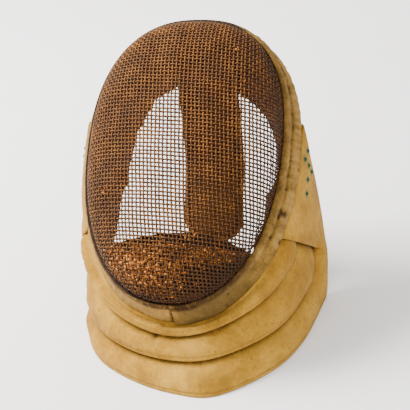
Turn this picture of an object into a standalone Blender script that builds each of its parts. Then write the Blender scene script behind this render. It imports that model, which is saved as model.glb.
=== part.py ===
"""Old fencing mask, resting on the hem of its bib. Metres, +Z up, the face towards -Y.

The face is an oval of woven wire, domed towards the wearer's front and leaning back. Places on it
are given in three lengths: across (to the +X side), up (along the leaning rim, from the chin) and
deep (behind the plane of the rim, towards the head). Round the rim, a station is an angle in
degrees: 0 at the chin, 90 at the +X temple, 180 at the crown, negative on the -X side.
"""

import math

import bpy
from mathutils import Vector

# Driving sizes of the face and its rim
FACE_WIDTH = 0.199
FACE_HEIGHT = 0.294
CHIN_TO_TEMPLE = 0.160
CHIN_SQUARENESS = 2.2
CROWN_SQUARENESS = 2.4
LEAN_DEGREES = 49.0
CHIN_HEIGHT = 0.070
DOME_RISE = 0.050
DOME_SHOULDER = 2.4
DOME_EDGE = 0.50
WIRE_CLOTH = 0.0022
HOOP_WIRE = 0.0036

# Canvas binding round the rim
BAND_WIDTH = 0.022
BAND_THICKNESS = 0.0024
BAND_FLARE_CHIN = 60.0
BAND_FLARE_CROWN = 80.0
BAND_LAP_START = 9.0
BAND_LAP_END = 1.5
BAND_LAP_RISE = 22.0
BAND_LAP_MARGIN = 5.0

# Leather bib: a long base tier and two shorter tiers on it
BIB_FLARE = 0.0255
BIB_DEPTH = 0.183
HEM_LEAD = 0.046
LEATHER = 0.0028
BASE_TUCK = 0.009
TIER_TUCK = 0.011
TIER_PUFF = 0.0042
BASE_PUFF = 0.0030
SETTLE = 0.0008

# Ear flaps and their eyelets
CORNER_HEIGHT = 0.036
FLAP_START = 61.4
FLAP_TOP = 100.5
FLAP_FOOT = 10.0
FLAP_TIP = 0.0030
FLAP_BOW = 0.004
FLAP_PUFF = 0.0030
EYELET_OUTER = 0.0038
EYELET_HOLE = 0.0018
EYELET_HEIGHT = 0.0009

# Inside: leather wall, back tongue and chin pad
LINING = 0.0022
LINING_DEPTH = 0.075
LINING_INSET = 0.045
LINING_END = 54.0
TONGUE_WIDTH = 0.064
TONGUE_THICKNESS = 0.0040
TONGUE_HANG = 0.146
TONGUE_SEAM = 0.030
TONGUE_SEAM_EDGE = 0.004
TONGUE_BOW = 0.008
CHIN_PAD_THICKNESS = 0.007
CHIN_PAD_REACH = 0.084
CHIN_PAD_DEPTH = 0.050
CHIN_PAD_WIDTH = 0.134
CHIN_PAD_CROWN = 0.005
CHIN_PAD_SKEW = 0.045
CHIN_PAD_END = 49.0

# Space left between pieces that touch
GAP = 0.0003

# Hem of the base tier, a row for each station: how far out and back it lies and how high it is
HEM = {
    "station": (-61.0, -56.0, -45.0, -30.0, -15.0, 0.0, 15.0, 30.0, 45.0, 56.0, 61.0),
    "out": (-0.94, -0.93, -0.84, -0.65, -0.32, 0.06, 0.39, 0.75, 0.93, 1.0, 1.0),
    "back": (0.99, 0.86, 0.52, 0.27, 0.105, 0.012, 0.012, 0.235, 0.52, 0.93, 1.06),
    "up": (1.0, 0.0, 0.0, 0.0, 0.0, 0.0, 0.0, 0.0, 0.0, 0.0, 1.0),
}

# Lower edges of the upper and middle tiers, as shares of the way from the band to the hem
TIER_EDGES = {
    "station": (-61.0, -45.0, -30.0, -15.0, 0.0, 15.0, 30.0, 45.0, 61.0),
    "upper": (0.24, 0.15, 0.135, 0.16, 0.20, 0.185, 0.18, 0.22, 0.265),
    "middle": (0.68, 0.68, 0.60, 0.56, 0.54, 0.53, 0.57, 0.64, 0.71),
}

# Eyelets of an ear flap: station round the rim and share of the way to the free edge
EYELETS = {
    "station": (91.5, 89.2, 87.5, 85.7, 83.2, 78.7),
    "share": (0.38, 0.20, 0.40, 0.58, 0.35, 0.33),
}

# Back edge of the leather wall: shares of its depth and of its inset at the crown
WALL_EDGE = {
    "station": (-180.0, -155.0, -130.0, -110.0, -90.0, -70.0, -54.0,
                54.0, 70.0, 90.0, 110.0, 130.0, 155.0, 180.0),
    "depth": (0.83, 0.90, 0.96, 1.0, 0.96, 0.80, 0.62, 0.62, 0.80, 0.98, 1.04, 1.02, 0.93, 0.83),
    "inset": (1.0, 0.80, 0.56, 0.45, 0.41, 0.31, 0.18, 0.32, 0.46, 0.45, 0.54, 0.76, 1.0, 1.0),
}

# Line of the back tongue below the crown: shares of its hang, up the face and behind the rim
TONGUE_LINE = {
    "along": (0.0, 0.12, 0.28, 0.48, 0.74, 1.0),
    "up": (0.0, 0.11, 0.26, 0.43, 0.72, 0.98),
    "deep": (0.0, 0.11, 0.25, 0.36, 0.46, 0.57),
}


def table_value(table, key, at, column):
    """Read one column of a table of rows, smoothly between its rows."""
    keys = table[key]
    values = table[column]
    if at <= keys[0]:
        return values[0]
    if at >= keys[-1]:
        return values[-1]
    row = max(i for i in range(len(keys) - 1) if keys[i] <= at)
    step = keys[row + 1] - keys[row]
    share = (at - keys[row]) / step

    def slope(i):
        low = max(i - 1, 0)
        high = min(i + 1, len(keys) - 1)
        return (values[high] - values[low]) / (keys[high] - keys[low])

    rise = values[row + 1] - values[row]
    start = slope(row) * step
    end = slope(row + 1) * step
    cubic = start + end - 2.0 * rise
    square = 3.0 * rise - 2.0 * start - end
    return values[row] + share * (start + share * (square + share * cubic))


def blend(low, high, share):
    return low + (high - low) * share


def ease(share):
    share = min(max(share, 0.0), 1.0)
    return share * share * (3.0 - 2.0 * share)


# The face's own frame

LEAN = math.radians(LEAN_DEGREES)
CHIN = Vector((0.0, 0.0, CHIN_HEIGHT))
UP_FACE = Vector((0.0, math.sin(LEAN), math.cos(LEAN)))
OUT_FACE = Vector((0.0, -math.cos(LEAN), math.sin(LEAN)))
ACROSS = Vector((1.0, 0.0, 0.0))


def face_point(across, up, deep):
    return CHIN + ACROSS * across + UP_FACE * up - OUT_FACE * deep


def rim_flat(station):
    """Across and up of the rim at a station."""
    angle = math.radians(station)
    side = math.sin(angle)
    height = math.cos(angle)
    below = height > 0.0
    power = 2.0 / (CHIN_SQUARENESS if below else CROWN_SQUARENESS)
    reach = CHIN_TO_TEMPLE if below else FACE_HEIGHT - CHIN_TO_TEMPLE
    across = 0.5 * FACE_WIDTH * math.copysign(abs(side) ** power, side)
    up = CHIN_TO_TEMPLE - reach * math.copysign(abs(height) ** power, height)
    return across, up


def rim_normal(station):
    """Outward direction of the rim, in its plane, as across and up."""
    step = 1.5
    before = rim_flat(station - step)
    after = rim_flat(station + step)
    along = (after[0] - before[0], after[1] - before[1])
    size = math.hypot(*along)
    return along[1] / size, -along[0] / size


def rim_point(station, outward, deep):
    across, up = rim_flat(station)
    normal = rim_normal(station)
    return face_point(across + outward * normal[0], up + outward * normal[1], deep)


def rim_out(station):
    normal = rim_normal(station)
    return ACROSS * normal[0] + UP_FACE * normal[1]


# Meshes

def new_piece(name, points, faces, colour, roughness, metallic=0.0, smooth=True):
    mesh = bpy.data.meshes.new(name)
    mesh.from_pydata([tuple(p) for p in points], [], faces)
    mesh.update()
    if smooth:
        mesh.shade_smooth()
        mesh.set_sharp_from_angle(angle=math.radians(40.0))
    finish = bpy.data.materials.new(name)
    finish.use_nodes = True
    shader = finish.node_tree.nodes["Principled BSDF"]
    shader.inputs["Base Color"].default_value = (*colour, 1.0)
    shader.inputs["Roughness"].default_value = roughness
    shader.inputs["Metallic"].default_value = metallic
    mesh.materials.append(finish)
    piece = bpy.data.objects.new(name, mesh)
    bpy.context.scene.collection.objects.link(piece)
    return piece


def sheet_mesh(outer, inner, ring=False):
    """Closed solid between two grids of points; a ring joins its last row to its first."""
    rows = len(outer)
    columns = len(outer[0])
    points = [p for row in outer for p in row] + [p for row in inner for p in row]
    back = rows * columns

    def front_at(i, j):
        return (i % rows) * columns + j

    def back_at(i, j):
        return back + front_at(i, j)

    faces = []
    for i in range(rows if ring else rows - 1):
        for j in range(columns - 1):
            faces.append((front_at(i, j), front_at(i + 1, j),
                          front_at(i + 1, j + 1), front_at(i, j + 1)))
            faces.append((back_at(i, j), back_at(i, j + 1),
                          back_at(i + 1, j + 1), back_at(i + 1, j)))
        for j, flip in ((0, False), (columns - 1, True)):
            wall = [front_at(i, j), back_at(i, j), back_at(i + 1, j), front_at(i + 1, j)]
            faces.append(tuple(reversed(wall)) if flip else tuple(wall))
    if not ring:
        for j in range(columns - 1):
            faces.append((front_at(0, j), front_at(0, j + 1), back_at(0, j + 1), back_at(0, j)))
            last = rows - 1
            faces.append((front_at(last, j), back_at(last, j),
                          back_at(last, j + 1), front_at(last, j + 1)))
    return points, faces


def outward_faces(points, faces):
    """Turn all faces over if the solid is inside out."""
    volume = 0.0
    for face in faces:
        first = points[face[0]]
        for i in range(1, len(face) - 1):
            volume += first.dot(points[face[i]].cross(points[face[i + 1]]))
    if volume < 0.0:
        return [tuple(reversed(face)) for face in faces]
    return faces


def grid_normals(grid, ring=False):
    rows = len(grid)
    columns = len(grid[0])
    normals = []
    for i in range(rows):
        low = (i - 1) % rows if ring else max(i - 1, 0)
        high = (i + 1) % rows if ring else min(i + 1, rows - 1)
        line = []
        for j in range(columns):
            along = grid[high][j] - grid[low][j]
            down = grid[i][min(j + 1, columns - 1)] - grid[i][max(j - 1, 0)]
            line.append(along.cross(down).normalized())
        normals.append(line)
    return normals


def thick_sheet(name, grid, thickness, colour, roughness, ring=False, floor_rows=()):
    """Sheet of even thickness about a grid; floor_rows end flat on the surface below."""
    normals = grid_normals(grid, ring)
    half = 0.5 * thickness
    outer = [[p + n * half for p, n in zip(*pair)] for pair in zip(grid, normals)]
    inner = [[p - n * half for p, n in zip(*pair)] for pair in zip(grid, normals)]
    for i in floor_rows:
        outer[i][-1].z = 0.0
        inner[i][-1].z = 0.0
    points, faces = sheet_mesh(outer, inner, ring)
    return new_piece(name, points, outward_faces(points, faces), colour, roughness)


def spaced(start, end, count):
    return [blend(start, end, i / (count - 1)) for i in range(count)]


# Wire face and its hoop

def dome_point(station, share, sunk):
    """Point of the dome: share 0 at its middle, 1 at its edge; sunk lies under its outside."""
    across, up = rim_flat(station)
    normal = rim_normal(station)
    edge = 0.5 * HOOP_WIRE + GAP + sunk
    across -= edge * normal[0]
    up -= edge * normal[1]
    middle = CHIN_TO_TEMPLE
    rise = (1.0 - share ** DOME_SHOULDER) ** DOME_EDGE
    return face_point(across * share, middle + (up - middle) * share, -(DOME_RISE - sunk) * rise)


def build_wire_face():
    stations = spaced(-180.0, 180.0, 49)[:-1]
    shares = (0.22, 0.42, 0.60, 0.75, 0.86, 0.935, 0.98, 1.0)
    count = len(stations)
    points = []
    faces = []
    for sunk in (0.0, WIRE_CLOTH):
        base = len(points)
        points.append(dome_point(0.0, 0.0, sunk))
        for share in shares:
            points.extend(dome_point(s, share, sunk) for s in stations)
        ring_faces = []
        for i in range(count):
            nxt = (i + 1) % count
            ring_faces.append((base, base + 1 + i, base + 1 + nxt))
            for ring in range(len(shares) - 1):
                low = base + 1 + ring * count
                high = low + count
                ring_faces.append((low + i, high + i, high + nxt, low + nxt))
        faces.extend(tuple(reversed(f)) if sunk else f for f in ring_faces)
    side = 1 + len(shares) * count
    edge = 1 + (len(shares) - 1) * count
    for i in range(count):
        nxt = (i + 1) % count
        faces.append((edge + i, side + edge + i, side + edge + nxt, edge + nxt))
    faces = outward_faces(points, faces)
    return new_piece("wire_face", points, faces, (0.22, 0.12, 0.06), 0.55, 0.7)


def build_hoop():
    stations = spaced(-180.0, 180.0, 65)[:-1]
    sides = 8
    points = []
    for station in stations:
        for k in range(sides):
            turn = 2.0 * math.pi * k / sides
            radius = 0.5 * HOOP_WIRE
            points.append(rim_point(station, radius * math.cos(turn), radius * math.sin(turn)))
    faces = []
    count = len(stations)
    for i in range(count):
        nxt = (i + 1) % count
        for k in range(sides):
            turn = (k + 1) % sides
            faces.append((i * sides + k, nxt * sides + k, nxt * sides + turn, i * sides + turn))
    faces = outward_faces(points, faces)
    return new_piece("rim_hoop", points, faces, (0.05, 0.035, 0.025), 0.5, 0.6)


# Canvas binding

def band_flare(station):
    """Angle of the binding from the plane of the rim, in radians."""
    crown = ease((abs((station + 180.0) % 360.0 - 180.0) - 90.0) / 60.0)
    return math.radians(blend(BAND_FLARE_CHIN, BAND_FLARE_CROWN, crown))


def band_point(station, along, proud):
    """Point of the binding: along it from the rim, and proud of its middle."""
    flare = band_flare(station)
    outward = along * math.cos(flare) + proud * math.sin(flare)
    deep = along * math.sin(flare) - proud * math.cos(flare)
    return rim_point(station, outward, deep)


def band_lift(station):
    """How far the binding's upper end stands off where it laps over its lower end."""
    return (BAND_THICKNESS + GAP) * ease((BAND_LAP_START + BAND_LAP_RISE - station) / BAND_LAP_RISE)


def build_band():
    stations = spaced(BAND_LAP_START, BAND_LAP_END - 360.0, 76)
    start = 0.5 * HOOP_WIRE + 2.0 * GAP
    half = 0.5 * BAND_THICKNESS
    outer = []
    inner = []
    for station in stations:
        lift = band_lift(station + 360.0)
        outer.append([band_point(station, along, half + lift) for along in (start, BAND_WIDTH)])
        inner.append([band_point(station, along, lift - half) for along in (start, BAND_WIDTH)])
    points, faces = sheet_mesh(outer, inner)
    faces = outward_faces(points, faces)
    return new_piece("rim_band", points, faces, (0.42, 0.34, 0.20), 0.9)


# Bib

def band_edge(station):
    return band_point(station, BAND_WIDTH, 0.0)


def bib_free_edge(station):
    """Hem of the bib at a station."""
    out = table_value(HEM, "station", station, "out") * (0.5 * FACE_WIDTH + BIB_FLARE)
    back = table_value(HEM, "station", station, "back") * BIB_DEPTH - HEM_LEAD
    up = max(table_value(HEM, "station", station, "up"), 0.0) * CORNER_HEIGHT
    return Vector((out, back, up))


def flap_free_edge(station, side):
    """Back edge of an ear flap, from the bib's corner up to the binding at the temple."""
    corner = bib_free_edge(HEM["station"][-1] * side)
    tip = band_point(FLAP_TOP * side, BAND_WIDTH + FLAP_TIP, 0.0)
    foot = HEM["station"][-1]
    share = (abs(station) - foot) / (FLAP_TOP - foot)
    bow = Vector((0.4 * side, 1.0, 0.0)) * (FLAP_BOW * math.sin(math.pi * min(max(share, 0.0), 1.0)))
    return corner.lerp(tip, share) + bow


def section_frame(station, free_edge):
    """Top, direction down the leather, its length and its outward direction at a station."""
    top = band_edge(station)
    down = free_edge(station) - top
    step = 2.0
    after = band_edge(station + step) + free_edge(station + step)
    before = band_edge(station - step) + free_edge(station - step)
    outward = down.cross(after - before).normalized()
    if outward.dot(rim_out(station)) < 0.0:
        outward.negate()
    return top, down.normalized(), down.length, outward


def section_point(frame, share, proud):
    top, down, length, outward = frame
    return top + down * (length * share) + outward * proud


BASE_SINK = -(0.5 * BAND_THICKNESS + SETTLE + 0.5 * LEATHER)
MIDDLE_LIFT = BASE_SINK + LEATHER + SETTLE
UPPER_LIFT = MIDDLE_LIFT + LEATHER + SETTLE


def bib_stations():
    """Stations of the bib, closer together where its hem rises to the ear flaps."""
    corner = HEM["station"][-1]
    resting = HEM["station"][-2]
    rise = [blend(resting, corner, share) for share in (0.33, 0.67, 1.0)]
    return [-s for s in reversed(rise)] + spaced(-resting, resting, 33) + rise


def top_start(station, frame):
    """Share of the section where leather that butts against the binding begins."""
    lift = band_lift(station) if station > BAND_LAP_END - BAND_LAP_MARGIN else 0.0
    return (BAND_THICKNESS + lift + 2.0 * GAP) / frame[2]


def build_bib_base():
    stations = bib_stations()
    grid = []
    for station in stations:
        frame = section_frame(station, bib_free_edge)
        edge = table_value(TIER_EDGES, "station", station, "middle")
        row = [band_point(station, BAND_WIDTH - BASE_TUCK, BASE_SINK),
               band_point(station, BAND_WIDTH + 0.5 * LEATHER, BASE_SINK - 0.5 * SETTLE)]
        for share in (0.14, 0.34):
            row.append(section_point(frame, share, BASE_SINK))
        for share in (-0.10, 0.03):
            row.append(section_point(frame, edge + share, BASE_SINK))
        for share in (0.25, 0.5, 0.75, 1.0):
            proud = blend(BASE_SINK, 0.0, ease(share * 2.0))
            proud += BASE_PUFF * math.sin(math.pi * share)
            row.append(section_point(frame, blend(edge, 1.0, share), proud))
        grid.append(row)
    resting = [i for i, station in enumerate(stations) if abs(station) <= HEM["station"][-2]]
    return thick_sheet("bib_base", grid, LEATHER, (0.62, 0.43, 0.20), 0.85, floor_rows=resting)


def build_middle_tier():
    grid = []
    for station in bib_stations():
        frame = section_frame(station, bib_free_edge)
        start = table_value(TIER_EDGES, "station", station, "upper")
        end = table_value(TIER_EDGES, "station", station, "middle")
        start -= min(TIER_TUCK / frame[2], 0.45 * start)
        row = []
        for share in (0.0, 0.2, 0.4, 0.6, 0.8, 1.0):
            puff = TIER_PUFF * math.sin(math.pi * ease((share - 0.15) / 0.85))
            row.append(section_point(frame, blend(start, end, share), MIDDLE_LIFT + puff))
        grid.append(row)
    return thick_sheet("bib_middle_tier", grid, LEATHER, (0.63, 0.44, 0.21), 0.85)


def build_upper_tier():
    grid = []
    for station in bib_stations():
        frame = section_frame(station, bib_free_edge)
        end = table_value(TIER_EDGES, "station", station, "upper")
        start = top_start(station, frame)
        row = []
        for share in (0.0, 0.25, 0.5, 0.75, 1.0):
            proud = blend(0.5 * BAND_THICKNESS, UPPER_LIFT, ease(share * 3.6))
            proud += 0.5 * TIER_PUFF * math.sin(math.pi * share)
            row.append(section_point(frame, blend(start, end, share), proud))
        grid.append(row)
    return thick_sheet("bib_upper_tier", grid, LEATHER, (0.64, 0.45, 0.22), 0.85)


# Ear flaps

def flap_frame(station, side):
    return section_frame(station, lambda at: flap_free_edge(at, side))


def flap_surface(station, side, share):
    frame = flap_frame(station, side)
    start = (0.5 * BAND_THICKNESS + 1.5 * GAP) / frame[2]
    foot = 1.0 - ease((abs(station) - FLAP_START) / FLAP_FOOT)
    proud = FLAP_PUFF * math.sin(math.pi * share)
    proud += UPPER_LIFT * foot * ease(share * 6.0) * (1.0 - ease(share * 1.5 - 0.5))
    return section_point(frame, blend(start, 1.0, share), proud)


def build_ear_flap(name, side):
    stations = spaced(FLAP_START * side, FLAP_TOP * side, 15)
    grid = []
    for station in stations:
        grid.append([flap_surface(station, side, share) for share in spaced(0.0, 1.0, 7)])
    flap = thick_sheet(name, grid, LEATHER, (0.60, 0.42, 0.20), 0.85)
    for number in range(len(EYELETS["station"])):
        place, axis = eyelet_place(number, side)
        cutter = eyelet_cutter(f"{name}_hole_{number + 1}", place, axis)
        cut = flap.modifiers.new(f"hole_{number + 1}", "BOOLEAN")
        cut.operation = "DIFFERENCE"
        cut.solver = "EXACT"
        cut.object = cutter
    return flap


def eyelet_place(number, side):
    """Middle of an eyelet on the flap's middle surface, and the way that it faces."""
    station = EYELETS["station"][number] * side
    share = EYELETS["share"][number]
    place = flap_surface(station, side, share)
    along = flap_surface(station + 1.0, side, share) - flap_surface(station - 1.0, side, share)
    down = flap_surface(station, side, share + 0.03) - flap_surface(station, side, share - 0.03)
    axis = along.cross(down).normalized()
    if axis.x * side < 0.0:
        axis.negate()
    return place, axis


def round_points(place, axis, radius, height, sides=12):
    one = axis.orthogonal().normalized()
    two = axis.cross(one)
    centre = place + axis * height
    turns = [2.0 * math.pi * k / sides for k in range(sides)]
    return [centre + one * (radius * math.cos(a)) + two * (radius * math.sin(a)) for a in turns]


def eyelet_cutter(name, place, axis):
    reach = 3.0 * LEATHER
    low = round_points(place, axis, 0.5 * EYELET_HOLE, -reach)
    high = round_points(place, axis, 0.5 * EYELET_HOLE, reach)
    sides = len(low)
    faces = [(k, (k + 1) % sides, sides + (k + 1) % sides, sides + k) for k in range(sides)]
    faces += [tuple(reversed(range(sides))), tuple(range(sides, 2 * sides))]
    points = low + high
    cutter = new_piece(name, points, outward_faces(points, faces), (0.1, 0.3, 0.2), 0.5,
                       smooth=False)
    cutter.hide_render = True
    cutter.display_type = "WIRE"
    return cutter


def build_eyelet(name, number, side):
    place, axis = eyelet_place(number, side)
    seat = 0.5 * LEATHER + GAP
    profile = ((0.5 * EYELET_HOLE, seat), (0.5 * EYELET_OUTER, seat),
               (0.42 * EYELET_OUTER, seat + EYELET_HEIGHT),
               (0.5 * EYELET_HOLE, seat + EYELET_HEIGHT))
    rings = [round_points(place, axis, radius, height) for radius, height in profile]
    points = [p for ring in rings for p in ring]
    sides = len(rings[0])
    faces = []
    for ring in range(len(rings)):
        nxt = (ring + 1) % len(rings)
        for k in range(sides):
            turn = (k + 1) % sides
            faces.append((ring * sides + k, ring * sides + turn,
                          nxt * sides + turn, nxt * sides + k))
    faces = outward_faces(points, faces)
    return new_piece(name, points, faces, (0.10, 0.28, 0.20), 0.6, 0.4)


# Leather wall, tongue and chin pad

def wall_ends(station):
    """Front and back of the leather wall's section, each as inset from the rim and depth."""
    front = (0.5 * HOOP_WIRE + GAP + 0.5 * LINING, 0.5 * LINING + 2.0 * GAP)
    inset = table_value(WALL_EDGE, "station", station, "inset") * LINING_INSET
    depth = table_value(WALL_EDGE, "station", station, "depth") * LINING_DEPTH
    return front, (inset, depth)


def build_side_lining():
    stations = spaced(LINING_END, 360.0 - LINING_END, 49)
    grid = []
    for station in stations:
        at = station if station <= 180.0 else station - 360.0
        front, back = wall_ends(at)
        row = []
        for share in spaced(0.0, 1.0, 5):
            row.append(rim_point(at, -blend(front[0], back[0], share),
                                 blend(front[1], back[1], share)))
        grid.append(row)
    return thick_sheet("side_lining", grid, LINING, (0.20, 0.09, 0.035), 0.8)


def tongue_line():
    """Middle line of the tongue, in its plane of symmetry, as up and deep."""
    front, back = wall_ends(180.0)
    run = (back[0] - front[0], back[1] - front[1])
    size = math.hypot(*run)
    run = (run[0] / size, run[1] / size)
    away = 0.5 * LINING + GAP + 0.5 * TONGUE_THICKNESS
    seam = []
    for share in (0.0, 0.5, 1.0):
        travelled = size - TONGUE_SEAM * (1.0 - share) - TONGUE_SEAM_EDGE
        inset = front[0] + run[0] * travelled + run[1] * away
        deep = front[1] + run[1] * travelled - run[0] * away
        seam.append((FACE_HEIGHT - inset, deep))
    top = seam[-1]
    hang = []
    for along in spaced(0.0, 0.84, 11)[1:] + spaced(0.87, 0.96, 4) + [0.98, 0.993, 1.0]:
        up = top[0] - TONGUE_HANG * table_value(TONGUE_LINE, "along", along, "up")
        deep = top[1] + TONGUE_HANG * table_value(TONGUE_LINE, "along", along, "deep")
        hang.append((up, deep))
    return seam + hang


def build_back_tongue():
    line = tongue_line()
    lengths = [0.0]
    for before, after in zip(line, line[1:]):
        lengths.append(lengths[-1] + math.hypot(after[0] - before[0], after[1] - before[1]))
    half = 0.5 * TONGUE_WIDTH
    grid = []
    for (up, deep), travelled in zip(line, lengths):
        left = lengths[-1] - travelled
        reach = min(max(1.0 - left / (0.8 * half), 0.0), 0.97)
        width = half * math.sqrt(1.0 - reach ** 2)
        bow = TONGUE_BOW * (1.0 - 0.6 * ease(travelled / lengths[-1]))
        grid.append([face_point(width * share, up - bow * share ** 2, deep)
                     for share in spaced(-1.0, 1.0, 7)])
    return thick_sheet("back_tongue", grid, TONGUE_THICKNESS, (0.17, 0.075, 0.03), 0.75)


def build_chin_pad():
    """Worn pad that lies behind the chin like a shelf, between the ends of the leather wall."""
    inset = 0.5 * HOOP_WIRE + WIRE_CLOTH
    grid = []
    for share in spaced(-1.0, 1.0, 21):
        front = rim_point(share * CHIN_PAD_END, -inset, 0.4 * CHIN_PAD_THICKNESS)
        drop = share * share
        up = CHIN_PAD_REACH * (1.0 - 0.24 * drop - CHIN_PAD_SKEW * share)
        deep = CHIN_PAD_DEPTH * (1.0 - 0.30 * drop)
        back = face_point(share * 0.5 * CHIN_PAD_WIDTH, up, deep)
        row = []
        for run in spaced(0.0, 1.0, 7):
            crown = CHIN_PAD_CROWN * math.sin(math.pi * run) * (1.0 - drop)
            row.append(front.lerp(back, run) + OUT_FACE * crown)
        grid.append(row)
    return thick_sheet("chin_pad", grid, CHIN_PAD_THICKNESS, (0.45, 0.22, 0.09), 0.95)


def seat_on_origin(pieces):
    """Put the middle of the mask's footprint over the origin, with its hem on the ground."""
    corners = [v.co for piece in pieces for v in piece.data.vertices]
    low = [min(c[k] for c in corners) for k in range(3)]
    high = [max(c[k] for c in corners) for k in range(3)]
    shift = Vector((-0.5 * (low[0] + high[0]), -0.5 * (low[1] + high[1]), -low[2]))
    for piece in bpy.data.objects:
        piece.location = shift


def build_mask():
    pieces = [build_wire_face(), build_hoop(), build_band(), build_bib_base(),
              build_middle_tier(), build_upper_tier(), build_side_lining(),
              build_back_tongue(), build_chin_pad()]
    for name, side in (("left", 1.0), ("right", -1.0)):
        pieces.append(build_ear_flap(f"ear_flap_{name}", side))
        for number in range(len(EYELETS["station"])):
            pieces.append(build_eyelet(f"eyelet_{name}_{number + 1}", number, side))
    seat_on_origin(pieces)


for item in list(bpy.data.objects):
    bpy.data.objects.remove(item)
build_mask()
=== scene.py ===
"""Looks of the old fencing mask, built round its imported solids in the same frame."""

import logging
import math
from dataclasses import dataclass, field
from enum import Enum
from itertools import combinations
from typing import Callable, Optional, Sequence, Union

import bpy
import numpy as np
from mathutils import Matrix, Vector, noise


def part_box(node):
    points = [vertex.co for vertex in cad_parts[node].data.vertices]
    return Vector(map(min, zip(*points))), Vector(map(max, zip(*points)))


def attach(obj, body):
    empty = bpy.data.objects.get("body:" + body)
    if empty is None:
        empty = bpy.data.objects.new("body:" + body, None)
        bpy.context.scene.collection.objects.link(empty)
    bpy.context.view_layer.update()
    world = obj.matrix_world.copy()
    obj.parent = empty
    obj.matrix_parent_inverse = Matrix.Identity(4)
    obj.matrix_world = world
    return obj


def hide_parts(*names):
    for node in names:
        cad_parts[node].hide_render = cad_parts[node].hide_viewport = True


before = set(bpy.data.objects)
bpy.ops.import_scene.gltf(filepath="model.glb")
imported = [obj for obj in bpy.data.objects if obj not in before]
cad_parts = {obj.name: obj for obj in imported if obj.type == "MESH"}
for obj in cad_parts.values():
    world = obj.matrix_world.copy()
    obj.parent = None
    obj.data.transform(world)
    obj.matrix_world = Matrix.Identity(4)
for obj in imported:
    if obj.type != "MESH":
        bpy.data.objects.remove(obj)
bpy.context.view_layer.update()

Socket = bpy.types.NodeSocket
Value = Union[Socket, float, tuple]

LOG = logging.getLogger("mask")
GAP = 0.0003  # room between two pieces, in metres
SIDE = np.array([1.0, 0.0, 0.0])  # across the face
PAINTED_LIGHT_SIDE = np.array([-0.40, -0.05, 0.91])  # side of the wires painted as lit; the side facing away gets painted shade


def screen(red: float, green: float, blue: float) -> tuple:
    """Linear colour, with alpha, of a screen colour given from 0 to 255."""
    parts = [c / 255.0 for c in (red, green, blue)]
    linear = [c / 12.92 if c <= 0.04045 else ((c + 0.055) / 1.055) ** 2.4 for c in parts]
    return (*linear, 1.0)


def unit(value: np.ndarray) -> np.ndarray:
    """Value held between 0 and 1."""
    return np.clip(value, 0, 1)


def ease(share: np.ndarray) -> np.ndarray:
    """Smooth step from 0 to 1."""
    share = unit(share)
    return share * share * (3.0 - 2.0 * share)


def within(value: np.ndarray, low: float, rise: float, high: float,
           fall: float) -> np.ndarray:
    """1 between two values: rises over a length past low, falls over one before high."""
    return ease((value - low) / rise) * ease((high - value) / fall)


def bell(value: np.ndarray, centre: float, width: float) -> np.ndarray:
    """Round bump of height 1 about a centre."""
    return np.exp(-(((value - centre) / width) ** 2))


def rounded(share: np.ndarray) -> np.ndarray:
    """Quarter circle that rises from 0 to 1, for the edge of a thick sheet."""
    return np.sqrt(unit(1.0 - (1.0 - unit(share)) ** 2))


def from_chin(station: np.ndarray) -> np.ndarray:
    """Station as an angle from -180 to 180 degrees."""
    return (station + 180.0) % 360.0 - 180.0


def lengths_along(line: np.ndarray) -> np.ndarray:
    """Length from a line's first point to each of its points."""
    return np.concatenate([[0.0], np.cumsum(np.linalg.norm(np.diff(line, axis=0), axis=1))])


@dataclass(frozen=True)
class Table:
    """Short table of rows, read smoothly between them.

    Args:
        key: the values that the rows are listed by.
        columns: the other values of each row, by name.
    """

    key: tuple
    columns: dict

    def read(self, column: str, at: np.ndarray) -> np.ndarray:
        """Value of a column at each key.

        Args:
            column: name of the column.
            at: keys to read it at.

        Returns:
            The values, smooth from row to row and level past the ends.
        """
        keys = np.array(self.key, float)
        values = np.array(self.columns[column], float)
        at = np.clip(np.asarray(at, float), keys[0], keys[-1])
        low = np.clip(np.arange(len(keys)) - 1, 0, len(keys) - 1)
        high = np.clip(np.arange(len(keys)) + 1, 0, len(keys) - 1)
        slopes = (values[high] - values[low]) / (keys[high] - keys[low])
        row = np.clip(np.searchsorted(keys, at, side="right") - 1, 0, len(keys) - 2)
        step = keys[row + 1] - keys[row]
        share = (at - keys[row]) / step
        rise = values[row + 1] - values[row]
        start = slopes[row] * step
        end = slopes[row + 1] * step
        cubic = start + end - 2.0 * rise
        square = 3.0 * rise - 2.0 * start - end
        return values[row] + share * (start + share * (square + share * cubic))


@dataclass(frozen=True)
class Ripple:
    """Gentle unevenness of a worn surface: waves of chosen lengths with seeded phases.

    Args:
        height: half height of the waves, in metres.
        length: usual wave length, in metres.
        seed: picks the waves.
    """

    height: float
    length: float
    seed: int

    def over(self, one: np.ndarray, two: np.ndarray = 0.0) -> np.ndarray:
        """Height of the waves at one or two lengths in metres along a surface."""
        dice = np.random.default_rng(self.seed)
        total = np.zeros(np.broadcast(one, two).shape)
        for _ in range(7):
            turn = dice.uniform(0.0, math.pi)
            size = self.length * dice.uniform(0.6, 1.8)
            phase = dice.uniform(0.0, 2.0 * math.pi)
            way = one * math.cos(turn) + two * math.sin(turn)
            total = total + np.sin(2.0 * math.pi * way / size + phase)
        return self.height * total / math.sqrt(7.0)


# The face's own frame, its rim and the leather that hangs from it


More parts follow.
